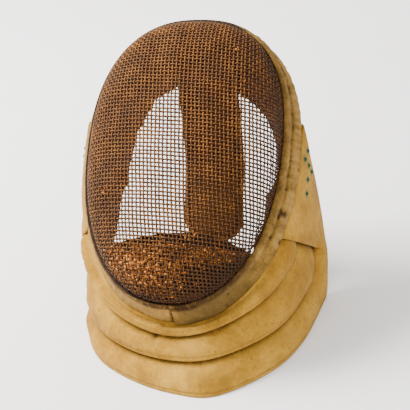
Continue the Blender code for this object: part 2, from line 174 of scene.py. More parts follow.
@dataclass(frozen=True)
class Rim:
    """Oval rim of the face, with its plane leaning back."""

    width: float = 0.199
    height: float = 0.294
    chin_to_temple: float = 0.160
    chin_squareness: float = 2.2
    crown_squareness: float = 2.4
    lean: float = 49.0
    chin_height: float = 0.070
    hoop: float = 0.0036
    seat: tuple = (0.0, 0.0)

    @property
    def up_face(self) -> np.ndarray:
        """Direction up the face."""
        lean = math.radians(self.lean)
        return np.array([0.0, math.sin(lean), math.cos(lean)])

    @property
    def out_face(self) -> np.ndarray:
        """Direction straight out of the face."""
        lean = math.radians(self.lean)
        return np.array([0.0, -math.cos(lean), math.sin(lean)])

    def place(self, across: np.ndarray, up: np.ndarray, deep: np.ndarray) -> np.ndarray:
        """Points in the row's frame from lengths across, up and behind the rim's plane."""
        across, up, deep = np.broadcast_arrays(across, up, deep)
        chin = np.array([*self.seat, self.chin_height])
        return (chin + across[..., None] * SIDE + up[..., None] * self.up_face
                - deep[..., None] * self.out_face)

    def flat(self, station: np.ndarray) -> tuple:
        """Across and up of the rim at each station, an angle from the chin in degrees."""
        angle = np.radians(station)
        side = np.sin(angle)
        height = np.cos(angle)
        below = height > 0.0
        power = np.where(below, 2.0 / self.chin_squareness, 2.0 / self.crown_squareness)
        reach = np.where(below, self.chin_to_temple, self.height - self.chin_to_temple)
        across = 0.5 * self.width * np.sign(side) * np.abs(side) ** power
        up = self.chin_to_temple - reach * np.sign(height) * np.abs(height) ** power
        return across, up

    def normal(self, station: np.ndarray) -> tuple:
        """Outward direction in the rim's plane, as across and up."""
        before = self.flat(station - 1.5)
        after = self.flat(station + 1.5)
        along = (after[0] - before[0], after[1] - before[1])
        size = np.hypot(*along)
        return along[1] / size, -along[0] / size

    def point(self, station: np.ndarray, outward: np.ndarray, deep: np.ndarray) -> np.ndarray:
        """Points a length outward of the rim and a length behind it."""
        across, up = self.flat(station)
        normal = self.normal(station)
        return self.place(across + outward * normal[0], up + outward * normal[1], deep)

    def outward(self, station: np.ndarray) -> np.ndarray:
        """Outward direction at each station, in the row's frame."""
        normal = self.normal(station)
        return normal[0][..., None] * SIDE + normal[1][..., None] * self.up_face


@dataclass(frozen=True)
class BindingForm:
    """Lie of the canvas binding that leaves the rim towards the back."""

    rim: Rim
    width: float = 0.022
    thickness: float = 0.0024
    flare_chin: float = 60.0
    flare_crown: float = 80.0
    lap_start: float = 9.0
    lap_end: float = 1.5
    lap_rise: float = 22.0

    def point(self, station: np.ndarray, along: np.ndarray, proud: np.ndarray) -> np.ndarray:
        """Points along the binding from the rim, and proud of its middle."""
        past = np.abs(from_chin(station)) - 90.0
        flare = np.radians(self.flare_chin
                           + (self.flare_crown - self.flare_chin) * ease(past / 60.0))
        outward = along * np.cos(flare) + proud * np.sin(flare)
        deep = along * np.sin(flare) - proud * np.cos(flare)
        return self.rim.point(station, outward, deep)

    def shown(self, station: np.ndarray) -> np.ndarray:
        """Width that shows beside the leather, narrower on the -X side of the chin."""
        return self.width * BAND_SHOWS.read("share", station)

    def lift(self, station: np.ndarray) -> np.ndarray:
        """How far the upper end stands off where it laps over the lower end."""
        share = (self.lap_start + self.lap_rise - station) / self.lap_rise
        return (self.thickness + GAP) * ease(share)


UNDER_BAND = (  # how far past the band's edge and how proud each hidden row lies
    (-0.0055, 0.0),
    (0.0003, 0.0009),
    (0.0020, 0.0021),
)

BAND_SHOWS = Table(
    key=(-100.0, -80.0, -60.0, -45.0, -30.0, -15.0, -6.0, 0.0),
    columns={"share": (1.0, 0.7, 0.36, 0.40, 0.72, 0.78, 0.90, 1.0)},
)

HEM = Table(
    key=(-61.0, -56.0, -45.0, -30.0, -15.0, 0.0, 15.0, 30.0, 45.0, 56.0, 61.0),
    columns={
        "out": (-0.94, -0.93, -0.84, -0.65, -0.32, 0.06, 0.39, 0.75, 0.93, 1.0, 1.0),
        "back": (0.99, 0.86, 0.52, 0.27, 0.105, 0.012, 0.012, 0.235, 0.52, 0.93, 1.06),
        "up": (1.0, 0.0, 0.0, 0.0, 0.0, 0.0, 0.0, 0.0, 0.0, 0.0, 1.0),
    },
)

TIER_EDGES = Table(
    key=(-61.0, -45.0, -30.0, -15.0, 0.0, 15.0, 30.0, 45.0, 61.0),
    columns={
        "upper": (0.24, 0.15, 0.135, 0.16, 0.20, 0.185, 0.18, 0.22, 0.265),
        "middle": (0.68, 0.68, 0.60, 0.56, 0.54, 0.53, 0.57, 0.64, 0.71),
    },
)


@dataclass(frozen=True)
class Section:
    """Straight lines from the binding down to a free edge, one for each station."""

    top: np.ndarray
    down: np.ndarray
    length: np.ndarray
    outward: np.ndarray

    def point(self, share: np.ndarray, proud: np.ndarray) -> np.ndarray:
        """Points at a share of each line, a row for each station, proud of it."""
        run = (self.length[:, None] * share)[..., None]
        return (self.top[:, None] + self.down[:, None] * run
                + self.outward[:, None] * proud[..., None])


@dataclass(frozen=True)
class BibForm:
    """Lie of the leather bib and the ear flaps between the binding and their free edges."""

    binding: BindingForm
    half_width: float = 0.125
    depth: float = 0.183
    hem_lead: float = 0.046
    corner_height: float = 0.036
    corner: float = 61.0
    flap_top: float = 100.5
    flap_tip: float = 0.0004
    flap_bow: float = 0.004
    leather: float = 0.0028
    settle: float = 0.0008

    @property
    def base_lift(self) -> float:
        """How proud the base tier lies where the other tiers cover it."""
        return -(0.5 * self.binding.thickness + self.settle + 0.5 * self.leather)

    @property
    def middle_lift(self) -> float:
        """How proud the middle tier lies."""
        return self.base_lift + self.leather + self.settle

    @property
    def upper_lift(self) -> float:
        """How proud the upper tier lies."""
        return self.middle_lift + self.leather + self.settle

    def band_edge(self, station: np.ndarray) -> np.ndarray:
        """Outer edge of the binding, where the leather leaves it."""
        return self.binding.point(station, self.binding.width, 0.0)

    def hem(self, station: np.ndarray) -> np.ndarray:
        """Free edge of the bib."""
        seat = self.binding.rim.seat
        out = HEM.read("out", station) * self.half_width + seat[0]
        back = HEM.read("back", station) * self.depth - self.hem_lead + seat[1]
        up = np.maximum(HEM.read("up", station), 0.0) * self.corner_height
        return np.stack([out, back, up], -1)

    def free_edge(self, station: np.ndarray) -> np.ndarray:
        """Hem of the bib and, past its corners, the back edge of the ear flaps."""
        side = np.sign(station)
        corner = self.hem(self.corner * side)
        tip = self.binding.point(self.flap_top * side,
                                 self.binding.width + self.flap_tip, 0.0)
        share = (np.abs(station) - self.corner) / (self.flap_top - self.corner)
        bow = self.flap_bow * np.sin(math.pi * unit(share))
        way = np.stack([0.4 * side, np.ones_like(side), np.zeros_like(side)], -1)
        flap = corner + (tip - corner) * share[:, None] + way * bow[:, None]
        return np.where((share > 0.0)[:, None], flap, self.hem(station))

    def under_band(self, station: np.ndarray) -> np.ndarray:
        """Three rows of points that hide the leather's start under the binding."""
        proud = -(0.5 * self.binding.thickness + 0.0013)
        edge = self.binding.shown(station)
        rows = [self.binding.point(station, edge + past, proud + rise)
                for past, rise in UNDER_BAND]
        return np.stack(rows, axis=1)

    def section(self, station: np.ndarray) -> Section:
        """Lines from the binding to the free edge, with their outward directions."""
        edge = self.free_edge
        top = self.band_edge(station)
        down = edge(station) - top
        after = self.band_edge(station + 2.0) + edge(station + 2.0)
        before = self.band_edge(station - 2.0) + edge(station - 2.0)
        outward = np.cross(down, after - before)
        outward /= np.linalg.norm(outward, axis=-1, keepdims=True)
        facing = np.sign((outward * self.binding.rim.outward(station)).sum(-1))
        length = np.linalg.norm(down, axis=-1)
        return Section(top, down / length[:, None], length, outward * facing[:, None])


# Meshes


def grid_normals(grid: np.ndarray, toward: Optional[np.ndarray] = None) -> np.ndarray:
    """Unit normals of a grid of points, on the side that faces a direction if one is given."""
    normals = np.cross(np.gradient(grid, axis=0), np.gradient(grid, axis=1))
    normals /= np.maximum(np.linalg.norm(normals, axis=-1, keepdims=True), 1e-12)
    if toward is not None:
        normals *= np.sign(np.median((normals * toward).sum(-1)))
    return normals


@dataclass
class PieceMesh:
    """Points, faces and painted values of one piece, until it becomes an object."""

    points: np.ndarray
    faces: np.ndarray
    uv: Optional[np.ndarray] = None
    paint: dict = field(default_factory=dict)

    @classmethod
    def sheet(cls, outer: np.ndarray, inner: np.ndarray, uv: Optional[np.ndarray] = None,
              paint: Optional[dict] = None) -> "PieceMesh":
        """Closed solid between two grids of points of the same size.

        Args:
            outer: outside grid, rows by columns.
            inner: inside grid.
            uv: lengths along and down, in metres, for both grids.
            paint: values for the finish by name, one for each point of a grid.

        Returns:
            The mesh, faces outward.
        """
        rows, columns = outer.shape[:2]
        index = np.arange(rows * columns).reshape(rows, columns)
        back = index + rows * columns
        quads = [(index[:-1, :-1], index[1:, :-1], index[1:, 1:], index[:-1, 1:]),
                 (back[:-1, :-1], back[:-1, 1:], back[1:, 1:], back[1:, :-1]),
                 (index[:-1, 0], back[:-1, 0], back[1:, 0], index[1:, 0]),
                 (index[1:, -1], back[1:, -1], back[:-1, -1], index[:-1, -1]),
                 (index[0, 1:], back[0, 1:], back[0, :-1], index[0, :-1]),
                 (index[-1, :-1], back[-1, :-1], back[-1, 1:], index[-1, 1:])]
        faces = np.concatenate([np.stack(quad, -1).reshape(-1, 4) for quad in quads])
        points = np.concatenate([outer.reshape(-1, 3), inner.reshape(-1, 3)])
        first = points[faces[:, 0]]
        cross = (np.cross(points[faces[:, 1]], points[faces[:, 2]])
                 + np.cross(points[faces[:, 2]], points[faces[:, 3]]))
        if (first * cross).sum() < 0.0:
            faces = faces[:, ::-1]
        flat = None if uv is None else np.tile(uv.reshape(-1, 2), (2, 1))
        values = {}
        for name, value in (paint or {}).items():
            values[name] = np.tile(np.broadcast_to(value, (rows, columns)).reshape(-1), 2)
        return cls(points, faces, flat, values)

    @classmethod
    def joined(cls, parts: Sequence["PieceMesh"]) -> "PieceMesh":
        """One mesh of several, each with faces of the same number of sides."""
        starts = np.cumsum([0] + [len(part.points) for part in parts[:-1]])
        points = np.concatenate([part.points for part in parts])
        faces = np.concatenate([part.faces + start for part, start in zip(parts, starts)])
        paint = {name: np.concatenate([part.paint[name] for part in parts])
                 for name in parts[0].paint}
        return cls(points, faces, None, paint)

    def to_object(self, name: str, finish: bpy.types.Material, smooth: bool = True,
                  angle: Optional[float] = None) -> bpy.types.Object:
        """Blender object of the mesh.

        Args:
            name: the piece's name.
            finish: its material.
            smooth: whether its faces are shaded as one surface.
            angle: edges sharper than this, in degrees, stay sharp.

        Returns:
            The object, linked to the scene.
        """
        mesh = bpy.data.meshes.new(name)
        sides = self.faces.shape[1]
        mesh.vertices.add(len(self.points))
        mesh.vertices.foreach_set("co", self.points.astype(np.float32).ravel())
        mesh.loops.add(self.faces.size)
        mesh.loops.foreach_set("vertex_index", self.faces.astype(np.int32).ravel())
        mesh.polygons.add(len(self.faces))
        starts = np.arange(0, self.faces.size, sides, dtype=np.int32)
        mesh.polygons.foreach_set("loop_start", starts)
        mesh.update(calc_edges=True)
        mesh.validate()
        if self.uv is not None:
            layer = mesh.uv_layers.new(name="lengths")
            layer.data.foreach_set("uv", self.uv[self.faces.ravel()].astype(np.float32).ravel())
        for label, values in self.paint.items():
            attribute = mesh.attributes.new(label, "FLOAT", "POINT")
            attribute.data.foreach_set("value", values.astype(np.float32))
        if smooth:
            mesh.shade_smooth()
            if angle is not None:
                mesh.set_sharp_from_angle(angle=math.radians(angle))
        mesh.materials.append(finish)
        piece = bpy.data.objects.new(name, mesh)
        bpy.context.scene.collection.objects.link(piece)
        return piece


def tube(line: np.ndarray, side: np.ndarray, radius: float, sides: int,
         breadth: float = 1.0) -> PieceMesh:
    """Round or oval tube along a line, with closed ends.

    Args:
        line: points of its middle.
        side: a direction across the line at each point, such as a surface's normal.
        radius: half its thickness.
        sides: number of flat sides, an even one.
        breadth: its width as a share of its thickness.

    Returns:
        The tube as quads, painted by how far each point faces away from the painted light, which
        drives the wires' painted shade.
    """
    along = np.gradient(line, axis=0)
    along /= np.linalg.norm(along, axis=1, keepdims=True)
    across = np.cross(along, side)
    across /= np.linalg.norm(across, axis=1, keepdims=True)
    other = np.cross(across, along)
    turns = (np.arange(sides) + 0.5) * 2.0 * math.pi / sides
    outward = np.cos(turns)[None, :, None] * other[:, None]
    sideways = np.sin(turns)[None, :, None] * across[:, None]
    rings = line[:, None] + radius * (outward + breadth * sideways)
    # painted shade value: 0 on the side facing the painted light, 1 on the side away from it
    under = 0.5 - 0.5 * (outward + sideways) @ PAINTED_LIGHT_SIDE
    index = np.arange(len(line) * sides).reshape(-1, sides)
    after = np.roll(index, -1, axis=1)
    walls = np.stack([index[:-1], after[:-1], after[1:], index[1:]], -1).reshape(-1, 4)
    ends = [ring[[0, k, k + 1, k + 2]][::way]
            for ring, way in ((index[0], -1), (index[-1], 1)) for k in range(1, sides - 2, 2)]
    return PieceMesh(rings.reshape(-1, 3), np.concatenate([walls, ends]),
                     paint={"under": under.reshape(-1)})


def resample(line: np.ndarray, step: float) -> np.ndarray:
    """Points spaced evenly along a line."""
    lengths = lengths_along(line)
    count = max(int(lengths[-1] / step), 2) + 1
    at = np.linspace(0.0, lengths[-1], count)
    return np.stack([np.interp(at, lengths, line[:, k]) for k in range(line.shape[1])], -1)


# Finishes


class Sum(Enum):
    """Sums that a finish's nodes can do."""

    PLUS = "ADD"
    MINUS = "SUBTRACT"
    TIMES = "MULTIPLY"
    LEAST = "MINIMUM"


class Painter:
    """Builds one material out of procedural nodes."""

    def __init__(self, name: str, roughness: float, metallic: float = 0.0,
                 sheen: float = 0.0, gloss: float = 0.15) -> None:
        """Start a material.

        Args:
            name: the material's name.
            roughness: of its surface.
            metallic: 1 for bare metal.
            sheen: strength of the soft fuzz of cloth or suede.
            gloss: strength of its mirror-like part.
        """
        self.material = bpy.data.materials.new(name)
        self.material.use_nodes = True
        self.tree = self.material.node_tree
        self.shader = self.tree.nodes["Principled BSDF"]
        self.feed(self.shader, {"Roughness": roughness, "Metallic": metallic,
                                "Sheen Weight": sheen, "Sheen Roughness": 0.6,
                                "Specular IOR Level": gloss})
        self.places = self.tree.nodes.new("ShaderNodeTexCoord").outputs["Object"]

    def feed(self, node: bpy.types.Node, inputs: dict) -> None:
        """Give a node's inputs, by name or number, their sockets or constants."""
        for name, value in inputs.items():
            if isinstance(value, Socket):
                self.tree.links.new(value, node.inputs[name])
            else:
                node.inputs[name].default_value = value

    def node(self, kind: str, inputs: dict) -> bpy.types.Node:
        """New node of a kind, with its inputs fed."""
        node = self.tree.nodes.new(kind)
        self.feed(node, inputs)
        return node

    def noise(self, size: float, detail: float = 3.0, roughness: float = 0.55) -> Socket:
        """Soft noise from 0 to 1 with spots of a size in metres."""
        inputs = {"Scale": 1.0 / size, "Detail": detail, "Roughness": roughness,
                  "Vector": self.places}
        return self.node("ShaderNodeTexNoise", inputs).outputs["Fac"]

    def painted(self, name: str) -> Socket:
        """A value painted on the mesh's points."""
        node = self.tree.nodes.new("ShaderNodeAttribute")
        node.attribute_name = name
        return node.outputs["Fac"]

    def sums(self, kind: Sum, one: Value, two: Value) -> Socket:
        """Result of a sum of two values."""
        node = self.node("ShaderNodeMath", {0: one, 1: two})
        node.operation = kind.value
        return node.outputs[0]

    def times(self, one: Value, two: Value) -> Socket:
        """One value times another."""
        return self.sums(Sum.TIMES, one, two)

    def blend(self, one: Socket, two: Socket, share: float) -> Socket:
        """A share of one value with the rest of another."""
        return self.sums(Sum.PLUS, self.times(one, share), self.times(two, 1.0 - share))

    def spread(self, value: Socket, low: float, high: float) -> Socket:
        """Value stretched so that low gives 0 and high gives 1, without passing them."""
        inputs = {"From Min": low, "From Max": high, "Value": value}
        return self.node("ShaderNodeMapRange", inputs).outputs["Result"]

    def ramp(self, value: Socket, stops: Sequence[tuple]) -> Socket:
        """Colour for a value.

        Args:
            value: socket from 0 to 1.
            stops: pairs of a place and a screen colour.

        Returns:
            The colour socket.
        """
        node = self.node("ShaderNodeValToRGB", {"Fac": value})
        elements = node.color_ramp.elements
        while len(elements) < len(stops):
            elements.new(0.5)
        for element, (place, colour) in zip(elements, stops):
            element.position = place
            element.color = screen(*colour)
        return node.outputs["Color"]

    def lay(self, under: Socket, tint: tuple, amount: Socket, strength: float = 1.0) -> Socket:
        """A colour laid over another.

        Args:
            under: the colour so far.
            tint: screen colour that covers it.
            amount: from 0 to 1, how far it is covered.
            strength: share of that amount that is used.

        Returns:
            The colour socket.
        """
        if strength < 1.0:
            amount = self.times(amount, strength)
        node = self.tree.nodes.new("ShaderNodeMix")
        node.data_type = "RGBA"
        self.feed(node, {"Factor": amount, 6: under, 7: screen(*tint)})
        return node.outputs[2]

    def bump(self, height: Socket, strength: float, distance: float,
             before: Optional[Socket] = None) -> Socket:
        """Relief from a height socket, on top of earlier relief."""
        inputs = {"Strength": strength, "Distance": distance, "Height": height}
        if before is not None:
            inputs["Normal"] = before
        return self.node("ShaderNodeBump", inputs).outputs["Normal"]

    def done(self, colour: Socket, normal: Optional[Socket] = None) -> bpy.types.Material:
        """Join the colour and the relief to the shader."""
        inputs = {"Base Color": colour}
        if normal is not None:
            inputs["Normal"] = normal
        self.feed(self.shader, inputs)
        return self.material


@dataclass(frozen=True)
class Suede:
    """Buff leather of the bib, worn and stained, with painted shade in its folds."""

    name: str = "buff suede"
    dark: tuple = (128, 86, 16)
    middle: tuple = (162, 119, 31)
    light: tuple = (190, 144, 52)
    grime_and_shade: tuple = (56, 32, 6)
    dirt: tuple = (116, 78, 22)

    def base(self, paint: Painter) -> tuple:
        """Colour and relief of the leather, before stains.

        Args:
            paint: the material in hand.

        Returns:
            The colour socket and the relief socket.
        """
        blotch = paint.noise(0.040, 4.0, 0.55)
        grain = paint.noise(0.0030, 4.0, 0.6)
        mixed = paint.blend(blotch, grain, 0.65)
        colour = paint.ramp(mixed, [(0.32, self.dark), (0.50, self.middle), (0.68, self.light)])
        # painted shade: the painted fold value darkens folds, creases and covered edges; the same
        # dark colour marks random grime spots below
        uneven = paint.spread(paint.noise(0.008), 0.15, 0.45)
        colour = paint.lay(colour, self.grime_and_shade, paint.times(paint.painted("fold"), uneven))
        dirt = paint.spread(paint.noise(0.024, 6.0, 0.68), 0.50, 0.70)
        colour = paint.lay(colour, self.dirt, dirt, 0.50)
        spots = paint.spread(paint.noise(0.0045, 2.0), 0.65, 0.73)
        colour = paint.lay(colour, self.grime_and_shade, spots, 0.40)
        normal = paint.bump(paint.noise(0.0012), 0.35, 0.0006)
        return colour, paint.bump(grain, 0.5, 0.0012, normal)

    def make(self) -> bpy.types.Material:
        """Build the material."""
        paint = Painter(self.name, 0.92, sheen=0.04)
        return paint.done(*self.base(paint))


@dataclass(frozen=True)
class Canvas:
    """Coarse olive canvas of the binding, with rusty stains by the wire and painted shade along
    its fold line and at the lap seam.
    """

    name: str = "stained canvas"
    dark: tuple = (82, 59, 16)
    middle: tuple = (124, 92, 34)
    light: tuple = (158, 122, 58)
    worn: tuple = (162, 126, 64)
    olive: tuple = (84, 64, 26)
    rust_and_shade: tuple = (48, 26, 6)

    def make(self) -> bpy.types.Material:
        """Build the material."""
        paint = Painter(self.name, 0.95, sheen=0.04)
        blotch = paint.noise(0.016, 5.0, 0.65)
        weave = paint.noise(0.0014, 2.0)
        mixed = paint.blend(blotch, weave, 0.7)
        colour = paint.ramp(mixed, [(0.36, self.dark), (0.50, self.middle), (0.66, self.light)])
        colour = paint.lay(colour, self.worn, paint.painted("worn"), 0.65)
        colour = paint.lay(colour, self.olive, paint.painted("olive"), 0.75)
        # rusty stains and marks, with painted shade along the fold line, in its dents and at the
        # lap seam
        uneven = paint.spread(paint.noise(0.005, 4.0), 0.25, 0.52)
        colour = paint.lay(colour, self.rust_and_shade, paint.times(paint.painted("stain"), uneven))
        return paint.done(colour, paint.bump(weave, 0.7, 0.0010))


@dataclass(frozen=True)
class Rust:
    """Rusty iron wire, with painted shade, nearly black, on its under side."""

    name: str = "rusty wire"
    dark: tuple = (62, 36, 8)
    middle: tuple = (94, 56, 14)
    light: tuple = (134, 84, 27)
    painted_shade: tuple = (40, 19, 3)
    spots: float = 0.018

    def make(self) -> bpy.types.Material:
        """Build the material."""
        paint = Painter(self.name, 0.62, gloss=0.2)
        blotch = paint.noise(self.spots, 5.0, 0.7)
        colour = paint.ramp(blotch, [(0.28, self.dark), (0.50, self.middle), (0.74, self.light)])
        # painted shade on the side of each wire that faces away from the light
        shade = paint.spread(paint.painted("under"), 0.22, 0.47)
        colour = paint.lay(colour, self.painted_shade, shade)
        return paint.done(colour, paint.bump(paint.noise(0.0008), 0.5, 0.0004))


@dataclass(frozen=True)
class OldLeather:
    """Dark reddish brown leather of the inside, dry and flaking."""

    name: str = "brown leather"
    dark: tuple = (50, 22, 6)
    middle: tuple = (92, 44, 13)
    light: tuple = (124, 68, 26)
    rubbed: tuple = (190, 130, 60)
    flaked: tuple = (160, 110, 58)
    shadow: tuple = (40, 20, 8)

    def make(self) -> bpy.types.Material:
        """Build the material."""
        paint = Painter(self.name, 0.8)
        blotch = paint.noise(0.014, 5.0, 0.65)
        colour = paint.ramp(blotch, [(0.34, self.dark), (0.52, self.middle), (0.68, self.light)])
        flakes = paint.spread(paint.noise(0.0030), 0.60, 0.72)
        colour = paint.lay(colour, self.flaked, flakes, 0.4)
        colour = paint.lay(colour, self.rubbed, paint.painted("rubbed"))
        colour = paint.lay(colour, self.shadow, paint.painted("fold"))
        return paint.done(colour, paint.bump(paint.noise(0.0030, 4.0), 0.6, 0.0012))


@dataclass(frozen=True)
class Crumble:
    """Dry, crumbling padding of the chin pad."""

    name: str = "crumbling padding"
    dark: tuple = (40, 20, 4)
    middle: tuple = (190, 102, 30)
    light: tuple = (236, 164, 80)
    shadow: tuple = (24, 14, 8)

    def make(self) -> bpy.types.Material:
        """Build the material."""
        paint = Painter(self.name, 0.97)
        bits = paint.noise(0.0032, 3.0, 0.7)
        colour = paint.ramp(bits, [(0.41, self.dark), (0.51, self.middle), (0.60, self.light)])
        colour = paint.lay(colour, self.shadow, paint.painted("fold"))
        return paint.done(colour, paint.bump(bits, 0.8, 0.0020))


@dataclass(frozen=True)
class Plain:
    """One colour with a little unevenness, for thread, brass and the ground."""

    name: str
    colour: tuple
    other: tuple
    spots: float = 0.004
    roughness: float = 0.8
    metallic: float = 0.0

    def make(self) -> bpy.types.Material:
        """Build the material."""
        paint = Painter(self.name, self.roughness, self.metallic)
        colour = paint.ramp(paint.noise(self.spots),
                            [(0.38, self.colour), (0.62, self.other)])
        return paint.done(colour)


# Padding


@dataclass(frozen=True)
class Inflation:
    """Cloth simulation that fills a padded piece between its seams."""

    pressure: float = 4.0
    frames: int = 20
    limit: float = 0.0022

    def fill(self, piece: bpy.types.Object, held: np.ndarray) -> None:
        """Swell a piece and keep the result in its mesh.

        Args:
            piece: the closed mesh.
            held: how firmly each of its points is held, from 0 to 1.
        """
        seams = piece.vertex_groups.new(name="seams")
        for i, hold in enumerate(held):
            seams.add([i], float(hold), "REPLACE")
        rest = np.array([v.co for v in piece.data.vertices])
        cloth = piece.modifiers.new("padding", "CLOTH")
        settings = cloth.settings
        settings.quality = 5
        settings.use_pressure = True
        settings.uniform_pressure_force = self.pressure
        settings.vertex_group_mass = seams.name
        settings.effector_weights.gravity = 0.0
        cloth.collision_settings.use_collision = False
        scene = bpy.context.scene
        for number in range(1, self.frames + 1):
            scene.frame_set(number)
        swollen = piece.evaluated_get(bpy.context.evaluated_depsgraph_get())
        moved = np.array([v.co for v in swollen.data.vertices]) - rest
        size = np.linalg.norm(moved, axis=1, keepdims=True)
        moved *= np.minimum(1.0, self.limit / np.maximum(size, 1e-9))
        piece.modifiers.remove(cloth)
        piece.vertex_groups.remove(seams)
        piece.data.vertices.foreach_set("co", (rest + moved).astype(np.float32).ravel())
        piece.data.update()
        scene.frame_set(1)
        LOG.info("%s swelled by up to %.1f mm", piece.name, 1000.0 * float(size.max()))


# Sub-assemblies


class SubAssembly:
    """Base of the mask's parts: builds pieces and dresses them for the frame."""

    def __init__(self, name: str) -> None:
        """Start with no pieces."""
        self.name = name
        self.pieces: list = []

    def dress(self, piece: bpy.types.Object, slot: str,
              nodes: Sequence[str] = ()) -> bpy.types.Object:
        """Fix a piece to the frame.

        Args:
            piece: the new piece.
            slot: not used.
            nodes: the solids that it stands for.

        Returns:
            The same piece.
        """
        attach(piece, "root")
        if nodes:
            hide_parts(*nodes)
        self.pieces.append(piece)
        return piece

    def report(self) -> None:
        """Log what was built."""
        faces = sum(len(piece.data.polygons) for piece in self.pieces)
        LOG.info("%s: %d pieces, %d faces", self.name, len(self.pieces), faces)


@dataclass(frozen=True)
class WireSizes:
    """Sizes of the woven wire face."""

    pitch: float = 0.00395
    wire: float = 0.00126
    breadth: float = 1.50
    rise: float = 0.050
    shoulder: float = 2.4
    edge_power: float = 0.50
    cloth: float = 0.0022
    upright_turn: float = 6.0
    cross_turn: float = -3.0
    sides: int = 6
    step: float = 0.0014
    dent: float = 0.0007
    dent_length: float = 0.045
    wander: float = 0.00012
    sway: float = 0.00016
    sway_length: float = 0.05
    span: float = 0.17


class Wires(Enum):
    """The two families of wires, which cross each other."""

    UPRIGHT = "upright"
    ACROSS = "across"


CAUGHT_BITS = (  # across, up and spread in millimetres, and number, of each patch of bits
    (-84.0, 171.0, 1.2, 8), (-73.0, 104.5, 1.0, 4), (-66.0, 104.0, 2.2, 14),
    (52.0, 252.0, 1.3, 7), (61.0, 217.0, 1.3, 6), (76.0, 187.0, 1.6, 6),
    (57.0, 105.0, 9.0, 10), (-50.0, 34.0, 8.0, 260), (-30.0, 27.0, 9.0, 420),
    (-8.0, 30.0, 11.0, 320), (25.0, 43.0, 13.0, 90), (5.0, 12.0, 10.0, 60),
)


